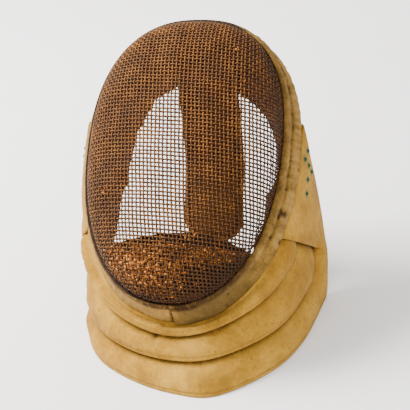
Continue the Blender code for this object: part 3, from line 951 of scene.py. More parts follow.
class WireFace(SubAssembly):
    """Domed face of woven wire, with its hoop."""

    def __init__(self, rim: Rim, sizes: WireSizes) -> None:
        """Work out the dome's outline for later lookups.

        Args:
            rim: the oval that the dome springs from.
            sizes: the wires' and the dome's sizes.
        """
        super().__init__("wire face")
        self.rim = rim
        self.sizes = sizes
        station = np.linspace(-180.0, 180.0, 1441)
        across, up = rim.flat(station)
        normal = rim.normal(station)
        edge = 0.5 * rim.hoop + GAP + 0.5 * sizes.wire
        across = across - edge * normal[0]
        up = up - edge * normal[1] - rim.chin_to_temple
        turn = np.arctan2(across, -up)
        order = np.argsort(turn)
        self.edge_turns = turn[order]
        self.edge_reach = np.hypot(across, up)[order]

    def share(self, across: np.ndarray, up: np.ndarray) -> np.ndarray:
        """Share of the way from the dome's middle to its edge."""
        up = up - self.rim.chin_to_temple
        edge = np.interp(np.arctan2(across, -up), self.edge_turns, self.edge_reach,
                         period=2.0 * math.pi)
        return np.hypot(across, up) / edge

    def height(self, across: np.ndarray, up: np.ndarray) -> np.ndarray:
        """Height of the middle of the wire cloth before the rim's plane."""
        share = unit(self.share(across, up))
        full = self.sizes.rise - 0.5 * self.sizes.cloth
        dents = Ripple(self.sizes.dent, self.sizes.dent_length, 11).over(across, up)
        shape = (1.0 - share ** self.sizes.shoulder) ** self.sizes.edge_power
        return full * shape + dents * ease((1.0 - share) * 4.0)

    def normals(self, across: np.ndarray, up: np.ndarray) -> np.ndarray:
        """Outward normals of the dome in the row's frame."""
        step = 0.0004
        slope_across = (self.height(across + step, up) - self.height(across - step, up)) / step / 2
        slope_up = (self.height(across, up + step) - self.height(across, up - step)) / step / 2
        normal = (self.rim.out_face - slope_across[:, None] * SIDE
                  - slope_up[:, None] * self.rim.up_face)
        return normal / np.linalg.norm(normal, axis=1, keepdims=True)

    def turned(self, turn: float, one: np.ndarray, two: np.ndarray) -> tuple:
        """Across and up of lengths measured along directions turned by an angle."""
        angle = math.radians(turn)
        middle = 0.5 * self.rim.height
        across = one * math.cos(angle) - two * math.sin(angle)
        up = middle + one * math.sin(angle) + two * math.cos(angle)
        return across, up

    def measure(self, turn: float, uprights: bool) -> tuple:
        """Length over the dome's surface along turned lines.

        Args:
            turn: of the wires from the face's own directions, in degrees.
            uprights: whether the lengths run across, for upright wires, or up.

        Returns:
            The steps along the lines, the lines' places, and the length at each.
        """
        span = self.sizes.span
        steps = np.linspace(-span, span, 681)
        places = np.linspace(-span, span, 341)
        run, place = np.meshgrid(steps, places, indexing="ij")
        high = self.height(*self.turned(turn, *((run, place) if uprights else (place, run))))
        pieces = np.hypot(np.diff(run, axis=0), np.diff(high, axis=0))
        lengths = np.concatenate([np.zeros((1, len(places))), np.cumsum(pieces, axis=0)])
        return steps, places, lengths - lengths[len(steps) // 2]

    def counted(self, measured: tuple, turn: float, uprights: bool, across: np.ndarray,
                up: np.ndarray) -> np.ndarray:
        """Number, with its fraction, of the wire of a family that passes each point.

        Args:
            measured: what measure gave for the family.
            turn: of its wires, in degrees.
            uprights: whether it is the upright family.
            across: place of each point across the face.
            up: its place up the face.

        Returns:
            The numbers.
        """
        steps, places, lengths = measured
        angle = math.radians(turn)
        up = up - 0.5 * self.rim.height
        one = across * math.cos(angle) + up * math.sin(angle)
        two = -across * math.sin(angle) + up * math.cos(angle)
        run, place = (one, two) if uprights else (two, one)
        i = np.clip((run - steps[0]) / (steps[1] - steps[0]), 0, len(steps) - 1.001)
        j = np.clip((place - places[0]) / (places[1] - places[0]), 0, len(places) - 1.001)
        i0 = i.astype(int)
        j0 = j.astype(int)
        fi = i - i0
        fj = j - j0
        low = lengths[i0, j0] * (1 - fi) + lengths[i0 + 1, j0] * fi
        high = lengths[i0, j0 + 1] * (1 - fi) + lengths[i0 + 1, j0 + 1] * fi
        return (low * (1 - fj) + high * fj) / self.sizes.pitch

    def family(self, wires: Wires) -> PieceMesh:
        """All wires that run one way, joined as one mesh."""
        sizes = self.sizes
        uprights = wires is Wires.UPRIGHT
        turns = (sizes.upright_turn, sizes.cross_turn)
        turn, other_turn = turns if uprights else turns[::-1]
        steps, places, lengths = self.measure(turn, uprights)
        other = self.measure(other_turn, not uprights)
        reach = 0.5 * (self.rim.width if uprights else self.rim.height) + 2.2 * sizes.rise
        most = int(reach / sizes.pitch)
        dice = np.random.default_rng(5 if uprights else 6)
        parts = []
        fine = np.linspace(places[0], places[-1], 1361)
        for number in range(-most, most + 1):
            wanted = number * sizes.pitch
            run = np.array([np.interp(wanted, lengths[:, k], steps) for k in range(len(places))])
            run = np.interp(fine, places, run)
            wander = dice.normal(0.0, sizes.wander)
            sway = Ripple(sizes.sway, sizes.sway_length, int(dice.integers(1, 9999))).over(fine)
            bent = run + wander + sway
            across, up = self.turned(turn, *((bent, fine) if uprights else (fine, bent)))
            inside = self.share(across, up) < 0.9995
            if inside.sum() < 12:
                continue
            first = int(np.argmax(inside))
            last = len(inside) - int(np.argmax(inside[::-1]))
            line = np.stack([across, up, self.height(across, up)], -1)[first:last]
            line = resample(line, sizes.step)
            if len(line) < 6:
                continue
            phase = self.counted(other, other_turn, not uprights, line[:, 0], line[:, 1])
            weave = 0.5 * sizes.wire * np.cos(math.pi * (phase + number))
            weave = weave if uprights else -weave
            normal = self.normals(line[:, 0], line[:, 1])
            middle = self.rim.place(line[:, 0], line[:, 1], -line[:, 2])
            middle = middle + normal * weave[:, None]
            parts.append(tube(middle, normal, 0.5 * sizes.wire, sizes.sides, sizes.breadth))
        LOG.info("%d wires, %s", len(parts), wires.value)
        return PieceMesh.joined(parts)

    def build_bits(self) -> None:
        """Build the bits of padding caught in the wires."""
        dice = np.random.default_rng(91)
        spots = []
        for across, up, spread, count in CAUGHT_BITS:
            spots.append(np.array([across, up]) + dice.normal(0.0, spread, (count, 2)))
        spots = np.concatenate(spots) * 0.001
        spots = spots[self.share(spots[:, 0], spots[:, 1]) < 0.985]
        high = self.height(spots[:, 0], spots[:, 1])
        places = self.rim.place(spots[:, 0], spots[:, 1], -high)
        places = places - self.normals(spots[:, 0], spots[:, 1]) * 0.0003
        shade = dice.choice([0.0, 0.3, 0.7], len(places), p=[0.55, 0.25, 0.2])
        bits = Crumbs(places, small=0.0005, large=0.0015, seed=92).mesh(shade)
        piece = bits.to_object("caught_bits", Crumble("caught padding").make(), smooth=False)
        self.dress(piece, "crumbled_padding")

    def build(self) -> None:
        """Build both families of wires and paint the hoop."""
        self.build_bits()
        finish = Rust().make()
        uprights = self.family(Wires.UPRIGHT).to_object("wire_uprights", finish)
        self.dress(uprights, "rusty_wire", ["wire_face"])
        crosses = self.family(Wires.ACROSS).to_object("wire_cross_wires", finish)
        self.dress(crosses, "rusty_wire")
        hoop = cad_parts["rim_hoop"]
        hoop.data.materials.clear()
        hoop.data.materials.append(
            Rust("dark wire", (18, 12, 8), (38, 26, 17), (84, 54, 30), spots=0.006).make())
        hoop.data.shade_smooth()


@dataclass(frozen=True)
class BindingLook:
    """Sizes of the binding's folds and of its turn over the hoop."""

    fold_at: float = 0.0085
    roll: float = 0.0016
    pucker: float = 0.00032
    pucker_length: float = 0.0075
    over_hoop: float = 0.00055
    hoop_gap: float = 0.0001


TURN_ROWS = np.array([192.0, 170.0, 146.0, 121.0, 95.0, 68.0])  # round the hoop, in degrees
BAND_ROWS = np.array([0.11, 0.16, 0.21, 0.26, 0.31, 0.36, 0.40, 0.45, 0.51, 0.59, 0.68, 0.77,
                      0.86, 0.92, 0.97, 0.99, 1.0])  # shares of the width, past the hoop
SHOULDER = (0.0017, 0.0013, 0.0007, 0.0003)  # how proud the first of those rows are
BLOTS = (  # darkness, station, width by angle, place along the width and length of each blot
    (1.3, 70.0, 1.5, 0.0125, 0.0050),
    (0.9, 30.0, 0.8, 0.0080, 0.0016),
    (0.9, 26.5, 0.7, 0.0180, 0.0020),
)


class Binding(SubAssembly):
    """Canvas binding round the rim, its upper end lapped over the lower at the chin."""

    def __init__(self, form: BindingForm, look: BindingLook) -> None:
        """Keep the binding's form and its folds' sizes."""
        super().__init__("binding")
        self.form = form
        self.look = look

    def wrap(self, station: np.ndarray) -> np.ndarray:
        """How far the canvas turns over the hoop: fully along the +X side, from 0 to 1."""
        at = station % 360.0
        chin = 0.72 * ease((35.0 - np.minimum(at, 360.0 - at)) / 25.0)
        right = within(at, 4.0, 10.0, 176.0, 26.0)
        return np.maximum(np.maximum(chin, right), 0.46)

    def sides(self, station: np.ndarray) -> tuple:
        """Outside and inside rows of the binding's section.

        Args:
            station: of each section.

        Returns:
            Lengths along the binding and proud of it: outside along, outside proud, inside
            along and inside proud, a row of values for each section.
        """
        form, look = self.form, self.look
        half = 0.5 * form.thickness
        close = 0.5 * form.rim.hoop + look.hoop_gap
        last = TURN_ROWS[-1]
        turn = np.radians(last + (TURN_ROWS[None] - last) * self.wrap(station)[:, None])
        first = BAND_ROWS[0]
        begin = first * form.width
        reach = form.shown(from_chin(station))[:, None] - begin
        flat_along = begin + (BAND_ROWS[None] - first) / (1.0 - first) * reach
        shoulder = np.zeros(len(BAND_ROWS))
        shoulder[:len(SHOULDER)] = SHOULDER
        far = close + look.over_hoop
        flat_proud = np.broadcast_to(0.3 * half + shoulder, flat_along.shape)
        outside_along = np.concatenate([far * np.cos(turn), flat_along], 1)
        outside_proud = np.concatenate([far * np.sin(turn), flat_proud], 1)
        inside_along = np.concatenate([close * np.cos(turn), flat_along], 1)
        inside_proud = np.concatenate([close * np.sin(turn), np.full(flat_along.shape, -half)], 1)
        for row, angle in enumerate((math.radians(40.0), math.radians(8.0)), len(TURN_ROWS)):
            inside_along[:, row] = close * math.cos(angle)
            inside_proud[:, row] = close * math.sin(angle)
        return outside_along, outside_proud, inside_along, inside_proud

    def build(self) -> None:
        """Build the binding."""
        form, look = self.form, self.look
        station = np.linspace(form.lap_start, form.lap_end - 360.0, 620)
        travelled = lengths_along(form.rim.point(station, 0.0, 0.0))
        width, proud, under, below = self.sides(station)
        run = np.broadcast_to(travelled[:, None], width.shape)
        at = np.broadcast_to(station[:, None], run.shape)
        place = (at + 360.0) % 360.0
        edge = form.shown(from_chin(station))[:, None]
        past = unit((width - look.fold_at) / (form.width - look.fold_at))
        folded = within(place, 44.0, 22.0, 170.0, 20.0)
        past *= folded
        roll = look.roll * np.sin(math.pi * past) ** 0.7
        pucker = Ripple(look.pucker, look.pucker_length, 3).over(run)
        wave = Ripple(0.0005, 0.030, 4).over(run, width) * ease((width - 0.003) / 0.004)
        creases = Ripple(0.00022, 0.0052, 9).over(run, width * 0.4) * ease((width - 0.002) / 0.003)
        relief = roll + pucker * ease(past * 3.0) * ease((1.0 - past) * 6.0) + wave + creases
        holes = unit(Ripple(1.0, 0.0105, 12).over(run) - 0.35)
        holes = holes * bell(width, look.fold_at, 0.0013) * folded
        groove = 0.0007 * bell(width, look.fold_at, 0.0009) * folded + 0.0010 * holes
        lift = form.lift(at + 360.0) * ease((width + 0.001) / 0.004)
        half = 0.5 * form.thickness
        full = half * (0.25 + 0.75 * rounded((edge - width) / half))
        flat = ease((width - 0.0022) / 0.002)
        hem = Ripple(0.0003, 0.026, 8).over(run) * ease(past * 2.0)
        above = (relief - groove + full - 0.3 * half) * flat
        outer = form.point(at, width + hem, lift + proud + above)
        inner = form.point(at, under + hem, lift + below + (half - full) * flat)
        edge_marks = unit(Ripple(1.0, 0.012, 14).over(run) - 0.9)
        edge_marks = edge_marks * bell(width, form.width, 0.0032)
        edge_marks = edge_marks * within(place, 50.0, 10.0, 130.0, 10.0)
        blots = sum(dark * bell(place, spot, wide) * bell(width, along, long)
                    for dark, spot, wide, along, long in BLOTS)
        rusty = 1.0 - ease((width - 0.0004) / 0.0034)
        rusty = rusty * (1.0 - 0.50 * within(place, 40.0, 20.0, 165.0, 20.0))
        # painted shadow: a dark line where the upper end laps over the lower at the chin
        seam = 2.2 * bell(place, 0.9, 0.5) + 1.1 * bell(width, 0.0012, 0.0013) * ease(
            (16.0 - np.minimum(place, 360.0 - place)) / 8.0)
        lower = 0.25 * within(place, 1.0, 6.0, 56.0, 24.0)
        # stain: rusty stains by the hoop, blots and marks, plus painted shade along the fold line,
        # in its dents and at the lap seam
        stain = unit(0.75 * rusty + 0.40 * bell(width, look.fold_at, 0.0011) * folded
                     + 1.6 * holes + 1.6 * edge_marks + blots + 0.8 * seam)
        worn = ease(past * 4.0) * (0.45 + 0.55 * np.clip(pucker / look.pucker, -0.8, 1.0))
        worn = worn * folded + 0.5 * ease((place - 255.0) / 30.0) * ease((width - 0.003) / 0.002)
        mesh = PieceMesh.sheet(outer, inner, np.stack([run, width], -1),
                               {"stain": stain, "worn": unit(worn - lower),
                                "olive": lower * 4.0})
        piece = mesh.to_object("canvas_binding", Canvas().make(), angle=50.0)
        self.dress(piece, "stained_canvas", ["rim_band"])


@dataclass(frozen=True)
class TierLook:
    """Sizes of a padded tier's folds and seams."""

    seam_at: float = 0.0033
    groove: float = 0.0006
    undulation: float = 0.0007
    undulation_length: float = 0.034
    pucker: float = 0.00035
    pucker_length: float = 0.0085
    narrow: float = 0.012
    stitch: float = 0.0021
    stitch_gap: float = 0.0012
    thread: float = 0.0004
    thread_step: float = 0.00035
    tuck_start: float = 59.2
    tuck_end: float = 64.5
    tuck: float = 0.0048


LEAD_ROWS = np.array([0.008, 0.003, 0.001])  # lengths before a start under the band
EDGE_ROWS = np.array([0.0, 0.0004, 0.0010, 0.0018, 0.0026, 0.0033, 0.0040, 0.0050, 0.0064])


class Bib(SubAssembly):
    """Leather bib in three padded tiers, with a stitched line along the hem."""

    def __init__(self, form: BibForm, look: TierLook) -> None:
        """Keep the bib's form and its seams' sizes."""
        super().__init__("bib")
        self.form = form
        self.look = look
        self.stations = np.linspace(-look.tuck_end, look.tuck_end, 184)
        self.section = form.section(self.stations)
        self.suede = Suede().make()
        self.thread = Plain("thread", (176, 136, 76), (120, 86, 44), spots=0.003).make()

    def travelled(self, share: float) -> np.ndarray:
        """Length along a line of the bib, from its middle."""
        line = self.section.point(np.full((len(self.stations), 1), share),
                                  np.zeros((len(self.stations), 1)))[:, 0]
        lengths = lengths_along(line)
        return lengths - lengths[len(lengths) // 2]

    def rows(self, start: np.ndarray, end: np.ndarray, plain: int) -> tuple:
        """Rows of a tier from its upper to its lower edge.

        Args:
            start: share of each section where the tier starts.
            end: share where it ends.
            plain: number of rows above the ones that follow the lower edge.

        Returns:
            Shares of the sections, and lengths from the lower edge.
        """
        width = (end - start) * self.section.length
        close = EDGE_ROWS[None, :] * np.minimum(1.0, width / self.look.narrow)[:, None]
        rest = np.linspace(1.0, 0.0, plain, endpoint=False)[None, :]
        above = close[:, -1:] + (width[:, None] - close[:, -1:]) * rest
        from_edge = np.concatenate([above, close[:, ::-1]], axis=1)
        share = end[:, None] - from_edge / self.section.length[:, None]
        return share, from_edge

    def relief(self, run: np.ndarray, from_edge: np.ndarray, width: np.ndarray,
               seed: int) -> np.ndarray:
        """Unevenness of a tier's outside: waves, puckers by the seam, and its groove."""
        look = self.look
        waves = Ripple(look.undulation, look.undulation_length, seed).over(run, from_edge * 0.7)
        waves = waves * ease((from_edge - 0.002) / 0.010)
        puckers = Ripple(look.pucker, look.pucker_length, seed + 1).over(run, from_edge * 0.1)
        puckers = puckers * bell(from_edge, 0.0055, 0.0035)
        groove = look.groove * bell(from_edge, look.seam_at, 0.0007)
        return (waves + puckers) * ease(width / look.narrow) - groove

    def tier(self, name: str, node: str, start: np.ndarray, end: np.ndarray,
             proud: Callable, cover: Callable, seed: int, to_floor: bool = False,
             before: Optional[np.ndarray] = None, fill: float = 0.5,
             pucker: float = 0.0) -> bpy.types.Object:
        """Build one tier.

        Args:
            name: the piece's name.
            node: the solid that it stands for.
            start: share of each section where it starts.
            end: share where it ends.
            proud: gives how proud its middle lies, from shares and from the tier's own share.
            cover: gives how far each point lies below what covers it, in metres.
            seed: picks its unevenness.
            to_floor: whether its lower edge rests on the ground.
            before: rows of points that lead up to it, under what covers its start.
            fill: not used.
            pucker: depth of the small gather under the tier above, near the chin.

        Returns:
            The piece.
        """
        form, look = self.form, self.look
        share, from_edge = self.rows(start, end, 12)
        own = unit((share - start[:, None]) / (end - start)[:, None])
        run = np.broadcast_to(self.travelled(0.6)[:, None], share.shape)
        width = ((end - start) * self.section.length)[:, None]
        grid = self.section.point(share, proud(share, own))
        if before is not None:
            grid = np.concatenate([before, grid], axis=1)
            lead = LEAD_ROWS[None]
            from_edge = np.concatenate([from_edge[:, :1] + lead, from_edge], axis=1)
            lead = lead / self.section.length[:, None]
            share = np.concatenate([share[:, :1] - lead, share], axis=1)
            run = np.broadcast_to(run[:, :1], share.shape)
        normals = grid_normals(grid, self.section.outward[:, None])
        half = 0.5 * form.leather
        thick = half * (0.3 + 0.7 * rounded(from_edge / half))
        relief = self.relief(run, from_edge, width, seed)
        gather = (bell(self.stations, -6.5, 0.9)[:, None]
                  * bell(cover(share, from_edge), 0.003, 0.0045))
        relief = relief - pucker * gather
        open_part = ease(cover(share, from_edge) / 0.004)
        ends = ease((look.tuck_end - np.abs(self.stations)) / 1.5)[:, None]
        outer = grid + normals * (thick + relief * open_part * ends)[..., None]
        inner = grid - normals * thick[..., None]
        if to_floor:
            for surface in (outer, inner):
                surface[np.abs(self.stations) <= 56.0, -1, 2] = 0.0
                surface[..., 2] = np.maximum(surface[..., 2], 0.0)
        # painted shade: darker just below the edge of the covering tier, on the rows hidden under
        # the band, where the ends tuck under the flaps, in the seam's groove, in the gather and
        # along the lower edge
        shade = 1.0 - ease(cover(share, from_edge) / 0.0075)
        if before is not None:
            shade = np.broadcast_to((np.arange(share.shape[1]) < 2)[None, :], share.shape)
        tucked = ease((np.abs(self.stations) - 60.6) / 1.4)[:, None]
        fold = unit(0.9 * shade + 0.9 * tucked * (share < 0.74)
                    + 0.25 * bell(from_edge, look.seam_at, 0.0008)
                    + 0.55 * gather * (pucker > 0.0)
                    + 0.25 * bell(from_edge, 0.0, 0.0008))
        mesh = PieceMesh.sheet(outer, inner, np.stack([run, from_edge], -1), {"fold": fold})
        piece = mesh.to_object(name, self.suede, angle=60.0)
        held = 1.0 - open_part * ease((from_edge - 0.0036) / 0.003) * ends
        Inflation().fill(piece, np.append(held.ravel(), np.ones(held.size)))
        self.dress(piece, "buff_leather", [node])
        if to_floor:
            self.stitches(f"{name}_stitches", grid, normals, thick, from_edge)
        return piece

    def stitches(self, name: str, grid: np.ndarray, normals: np.ndarray, thick: np.ndarray,
                 from_edge: np.ndarray) -> None:
        """Thread along a tier's seam.

        Args:
            name: the piece's name.
            grid: the tier's middle surface.
            normals: its normals.
            thick: half its thickness.
            from_edge: length of each point from the lower edge.
        """
        look = self.look
        surface = grid + normals * (thick - look.groove + 0.3 * look.thread)[..., None]
        both = np.concatenate([surface, normals], axis=-1)[:, ::-1]
        whole = resample(np.array([
            [np.interp(look.seam_at, from_edge[i, ::-1], both[i, :, k]) for k in range(6)]
            for i in range(2, len(grid) - 2)]), look.thread_step)
        per = int(round(look.stitch / look.thread_step))
        pitch = int(round((look.stitch + look.stitch_gap) / look.thread_step))
        parts = []
        for start in range(0, len(whole) - per, pitch):
            points = whole[start:start + per + 1:2]
            bow = np.sin(np.linspace(0.0, math.pi, len(points)))[:, None]
            middle = points[:, :3] + points[:, 3:] * (bow - 0.6) * 0.0004
            parts.append(tube(middle, points[:, 3:], 0.5 * look.thread, 4))
        piece = PieceMesh.joined(parts).to_object(name, self.thread)
        self.dress(piece, "buff_leather")

    def build(self) -> None:
        """Build the three tiers."""
        form = self.form
        lengths = self.section.length
        upper = TIER_EDGES.read("upper", self.stations)
        middle = TIER_EDGES.read("middle", self.stations)
        near_lap = self.stations > form.binding.lap_end - 5.0
        lift = np.where(near_lap, form.binding.lift(self.stations), 0.0)
        top = (form.binding.thickness + lift + 2.0 * GAP) / lengths
        tuck = np.minimum(0.011 / lengths, 0.45 * upper)

        past = np.abs(self.stations)[:, None]
        tucked = self.look.tuck * ease((past - self.look.tuck_start) / 3.3)
        hidden = self.look.tuck * ease((past - 61.9) / 0.9)

        def base_proud(share: np.ndarray, own: np.ndarray) -> np.ndarray:
            """Base tier: sunk under the others, then free down to the hem."""
            free = unit((share - middle[:, None]) / (1.0 - middle[:, None]))
            sunk = form.base_lift * (1.0 - ease(free * 2.0))
            return sunk + 0.0036 * np.sin(math.pi * free ** 1.2) - hidden

        def middle_proud(share: np.ndarray, own: np.ndarray) -> np.ndarray:
            """Middle tier: puffed between its tucked edge and its seam."""
            puff = 0.0052 * np.sin(math.pi * unit((own - 0.15) / 0.85) ** 1.5)
            return form.middle_lift + puff - tucked

        def upper_proud(share: np.ndarray, own: np.ndarray) -> np.ndarray:
            """Upper tier: rises from the binding's edge over the middle tier."""
            rise = ease(own * 3.2)
            low = -0.3 * form.binding.thickness
            puff = 0.0034 * np.sin(math.pi * own ** 1.3)
            return low + (form.upper_lift - low) * rise + puff - 0.8 * tucked

        self.tier("bib_hem_tier", "bib_base", middle - 0.10, np.ones_like(middle), base_proud,
                  lambda share, edge: (share - middle[:, None]) * lengths[:, None], 21,
                  to_floor=True, fill=0.35)
        self.tier("bib_padded_middle", "bib_middle_tier", upper - tuck, middle, middle_proud,
                  lambda share, edge: (share - upper[:, None]) * lengths[:, None], 31,
                  pucker=0.0020)
        self.tier("bib_padded_upper", "bib_upper_tier", top, upper, upper_proud,
                  lambda share, edge: (share - top[:, None]) * lengths[:, None], 41,
                  before=form.under_band(self.stations))


@dataclass(frozen=True)
class LiningSizes:
    """Sizes of the leather wall, the back tongue and the chin pad."""

    lining: float = 0.0022
    depth: float = 0.075
    inset: float = 0.045
    end: float = 54.0
    right_end: float = 50.5
    tongue_width: float = 0.064
    tongue: float = 0.0040
    tongue_border: float = 0.0050
    hang: float = 0.146
    seam: float = 0.030
    bow: float = 0.008
    pad: float = 0.007
    pad_reach: float = 0.084
    pad_depth: float = 0.050
    pad_width: float = 0.134
    pad_crown: float = 0.005
    pad_skew: float = 0.045
    pad_end: float = 49.0


WALL_EDGE = Table(
    key=(-180.0, -155.0, -130.0, -110.0, -90.0, -70.0, -60.0, -54.0, -50.5,
         54.0, 70.0, 75.0, 81.0, 84.0, 90.0, 110.0, 130.0, 155.0, 180.0),
    columns={
        "depth": (0.83, 0.90, 0.96, 1.0, 0.96, 0.80, 0.70, 0.62, 0.62,
                  0.62, 0.80, 0.845, 0.895, 0.92, 0.98, 1.04, 1.02, 0.93, 0.83),
        "inset": (1.0, 0.80, 0.56, 0.45, 0.41, 0.26, 0.15, 0.16, 0.44,
                  0.34, 0.49, 0.58, 0.59, 0.46, 0.46, 0.63, 0.82, 1.0, 1.0),
    },
)

TEARS = (  # station, width by angle and length of each torn bit of the wall's edge
    (79.5, 1.8, 0.0065),
    (124.5, 1.3, 0.0080),
)

TONGUE_LINE = Table(
    key=(0.0, 0.12, 0.28, 0.48, 0.74, 1.0),
    columns={
        "up": (0.0, 0.11, 0.26, 0.43, 0.72, 0.98),
        "deep": (0.0, 0.11, 0.25, 0.36, 0.46, 0.57),
    },
)


class Inside(SubAssembly):
    """Leather wall behind the rim, back tongue and chin pad."""

    def __init__(self, rim: Rim, sizes: LiningSizes) -> None:
        """Keep the rim and the sizes of the inside."""
        super().__init__("inside")
        self.rim = rim
        self.sizes = sizes
        self.leather = OldLeather().make()

    def wall_back(self, station: np.ndarray) -> tuple:
        """Inset and depth of the wall's back edge."""
        at = np.where(station <= 180.0, station, station - 360.0)
        return (WALL_EDGE.read("inset", at) * self.sizes.inset,
                WALL_EDGE.read("depth", at) * self.sizes.depth)

    def wall_front(self) -> tuple:
        """Inset and depth of the wall's front edge."""
        return 0.5 * self.rim.hoop + 3.0 * GAP, GAP

    def build_wall(self) -> None:
        """Build the leather wall, its back edge worn and torn."""
        sizes = self.sizes
        station = np.linspace(sizes.end, 360.0 - sizes.right_end, 330)
        front = self.wall_front()
        inset, deep = self.wall_back(station)
        run = lengths_along(self.rim.point(station, 0.0, 0.0))
        ragged = Ripple(0.0009, 0.011, 51).over(run)
        ragged += Ripple(0.0012, 0.035, 52).over(run)
        ragged += sum(long * bell(station, at, wide) for at, wide, long in TEARS)
        wall = np.hypot(inset - front[0], deep - front[1])
        share = np.linspace(0.0, 1.0, 18)[None, :] * (1.0 + ragged / wall)[:, None]
        at = np.broadcast_to(station[:, None], share.shape)
        in_by = front[0] + (inset[:, None] - front[0]) * share
        back_by = front[1] + (deep[:, None] - front[1]) * share
        grid = self.rim.point(at, -in_by, back_by)
        normals = grid_normals(grid)
        along = np.broadcast_to(run[:, None], share.shape)
        waves = Ripple(0.0007, 0.030, 53).over(along, share * 0.08) * ease(share * 3.0)
        half = 0.5 * sizes.lining
        outer = grid + normals * (waves + half)[..., None]
        inner = grid + normals * (waves - half)[..., None]
        edge = bell(share, 1.0, 0.05)
        mesh = PieceMesh.sheet(outer, inner, None, {"fold": 0.5 * edge})
        piece = mesh.to_object("leather_wall", self.leather, angle=50.0)
        self.dress(piece, "brown_leather", ["side_lining"])

    def tongue_line(self) -> np.ndarray:
        """Middle line of the tongue, as up and deep."""
        sizes = self.sizes
        front = self.wall_front()
        inset, deep = (float(v) for v in self.wall_back(np.array(180.0)))
        run = np.array([inset - front[0], deep - front[1]])
        size = float(np.hypot(*run))
        run /= size
        away = 0.5 * sizes.lining + GAP + 0.5 * sizes.tongue
        seam = []
        for share in (0.0, 0.5, 1.0):
            done = size - sizes.seam * (1.0 - share) - 0.004
            seam.append([self.rim.height - (front[0] + run[0] * done + run[1] * away),
                         front[1] + run[1] * done - run[0] * away])
        along = np.linspace(0.0, 1.0, 40)[1:]
        top = seam[-1]
        hang = np.stack([top[0] - sizes.hang * TONGUE_LINE.read("up", along),
                         top[1] + sizes.hang * TONGUE_LINE.read("deep", along)], -1)
        return np.concatenate([np.array(seam), hang])

    def build_tongue(self) -> None:
        """Build the tongue: a padded middle in a flat stitched border with a round end."""
        sizes = self.sizes
        line = resample(self.tongue_line(), 0.0028)
        lengths = lengths_along(line)
        half = 0.5 * sizes.tongue_width
        extra = np.linspace(lengths[-2], lengths[-1], 6)[1:-1]
        at = np.sort(np.concatenate([lengths, extra]))
        line = np.stack([np.interp(at, lengths, line[:, k]) for k in range(2)], -1)
        left = lengths[-1] - at
        reach = np.clip(1.0 - left / (0.8 * half), 0.0, 0.985)
        width = half * np.sqrt(1.0 - reach ** 2)
        bow = sizes.bow * (1.0 - 0.6 * ease(at / lengths[-1]))
        share = np.sin(np.linspace(-1.0, 1.0, 33) * 0.5 * math.pi)
        across = width[:, None] * share[None, :]
        up = line[:, :1] - bow[:, None] * share[None, :] ** 2
        deep = np.broadcast_to(line[:, 1:], up.shape)
        grid = self.rim.place(across, up, deep)
        normals = grid_normals(grid, self.rim.out_face)
        border = np.minimum(width[:, None] - np.abs(across), left[:, None] * 1.2)
        pad = ease((border - 0.0052) / 0.006)
        waves = Ripple(0.0006, 0.028, 61).over(across, at[:, None])
        groove = 0.0006 * bell(border, sizes.tongue_border, 0.0008)
        edge = 0.3 + 0.7 * np.sqrt(unit(border / 0.0012))
        front = grid + normals * (0.0013 * edge + 0.0016 * pad + waves * pad - groove)[..., None]
        back = grid - normals * (0.0013 * edge + 0.0010 * pad)[..., None]
        fold = unit(0.8 * bell(border, sizes.tongue_border, 0.0011)
                    + 0.3 * bell(border, 0.0, 0.001))
        hanging = ease((at[:, None] - 0.10) / 0.06)
        rubbed = 0.55 * bell(border, 0.0022, 0.0020) + 0.25 * pad * hanging
        mesh = PieceMesh.sheet(front, back, None, {"fold": fold, "rubbed": rubbed})
        piece = mesh.to_object("padded_tongue", self.leather, angle=60.0)
        self.dress(piece, "brown_leather", ["back_tongue"])
        self.tongue_stitches(grid, normals, border, width, half)

    def tongue_stitches(self, grid: np.ndarray, normals: np.ndarray, border: np.ndarray,
                        width: np.ndarray, half: float) -> None:
        """Thread down both long sides of the tongue."""
        parts = []
        stitch, pitch = 6, 8
        surface = grid + normals * 0.0010
        for columns in (slice(0, 17), slice(32, 15, -1)):
            line = []
            for i in range(len(grid)):
                if width[i] < 0.35 * half:
                    continue
                at = border[i, columns]
                seam = [np.interp(self.sizes.tongue_border, at, surface[i, columns, k])
                        for k in range(3)]
                line.append([*seam, *normals[i, 16]])
            whole = resample(np.array(line), 0.0005)
            for start in range(0, len(whole) - stitch, pitch):
                points = whole[start:start + stitch]
                parts.append(tube(points[:, :3], points[:, 3:], 0.00030, 4))
        piece = PieceMesh.joined(parts).to_object(
            "tongue_stitches", Plain("dark thread", (52, 30, 14), (82, 50, 24)).make())
        self.dress(piece, "brown_leather")

    def pad_grid(self, rows: int, columns: int) -> np.ndarray:
        """Middle surface of the chin pad."""
        sizes = self.sizes
        share = np.linspace(-1.0, 1.0, rows)[:, None]
        run = np.linspace(0.0, 1.0, columns)[None, :]
        inset = 0.5 * self.rim.hoop + 0.0010
        front = self.rim.point(share * sizes.pad_end, -inset, 0.70 * sizes.pad)
        drop = share * share
        back = self.rim.place(share * 0.5 * sizes.pad_width,
                              sizes.pad_reach * (1.0 - 0.24 * drop - sizes.pad_skew * share),
                              sizes.pad_depth * (1.0 - 0.30 * drop))
        crown = sizes.pad_crown * np.sin(math.pi * run) * (1.0 - drop)
        return front + (back - front) * run[..., None] + self.rim.out_face * crown[..., None]

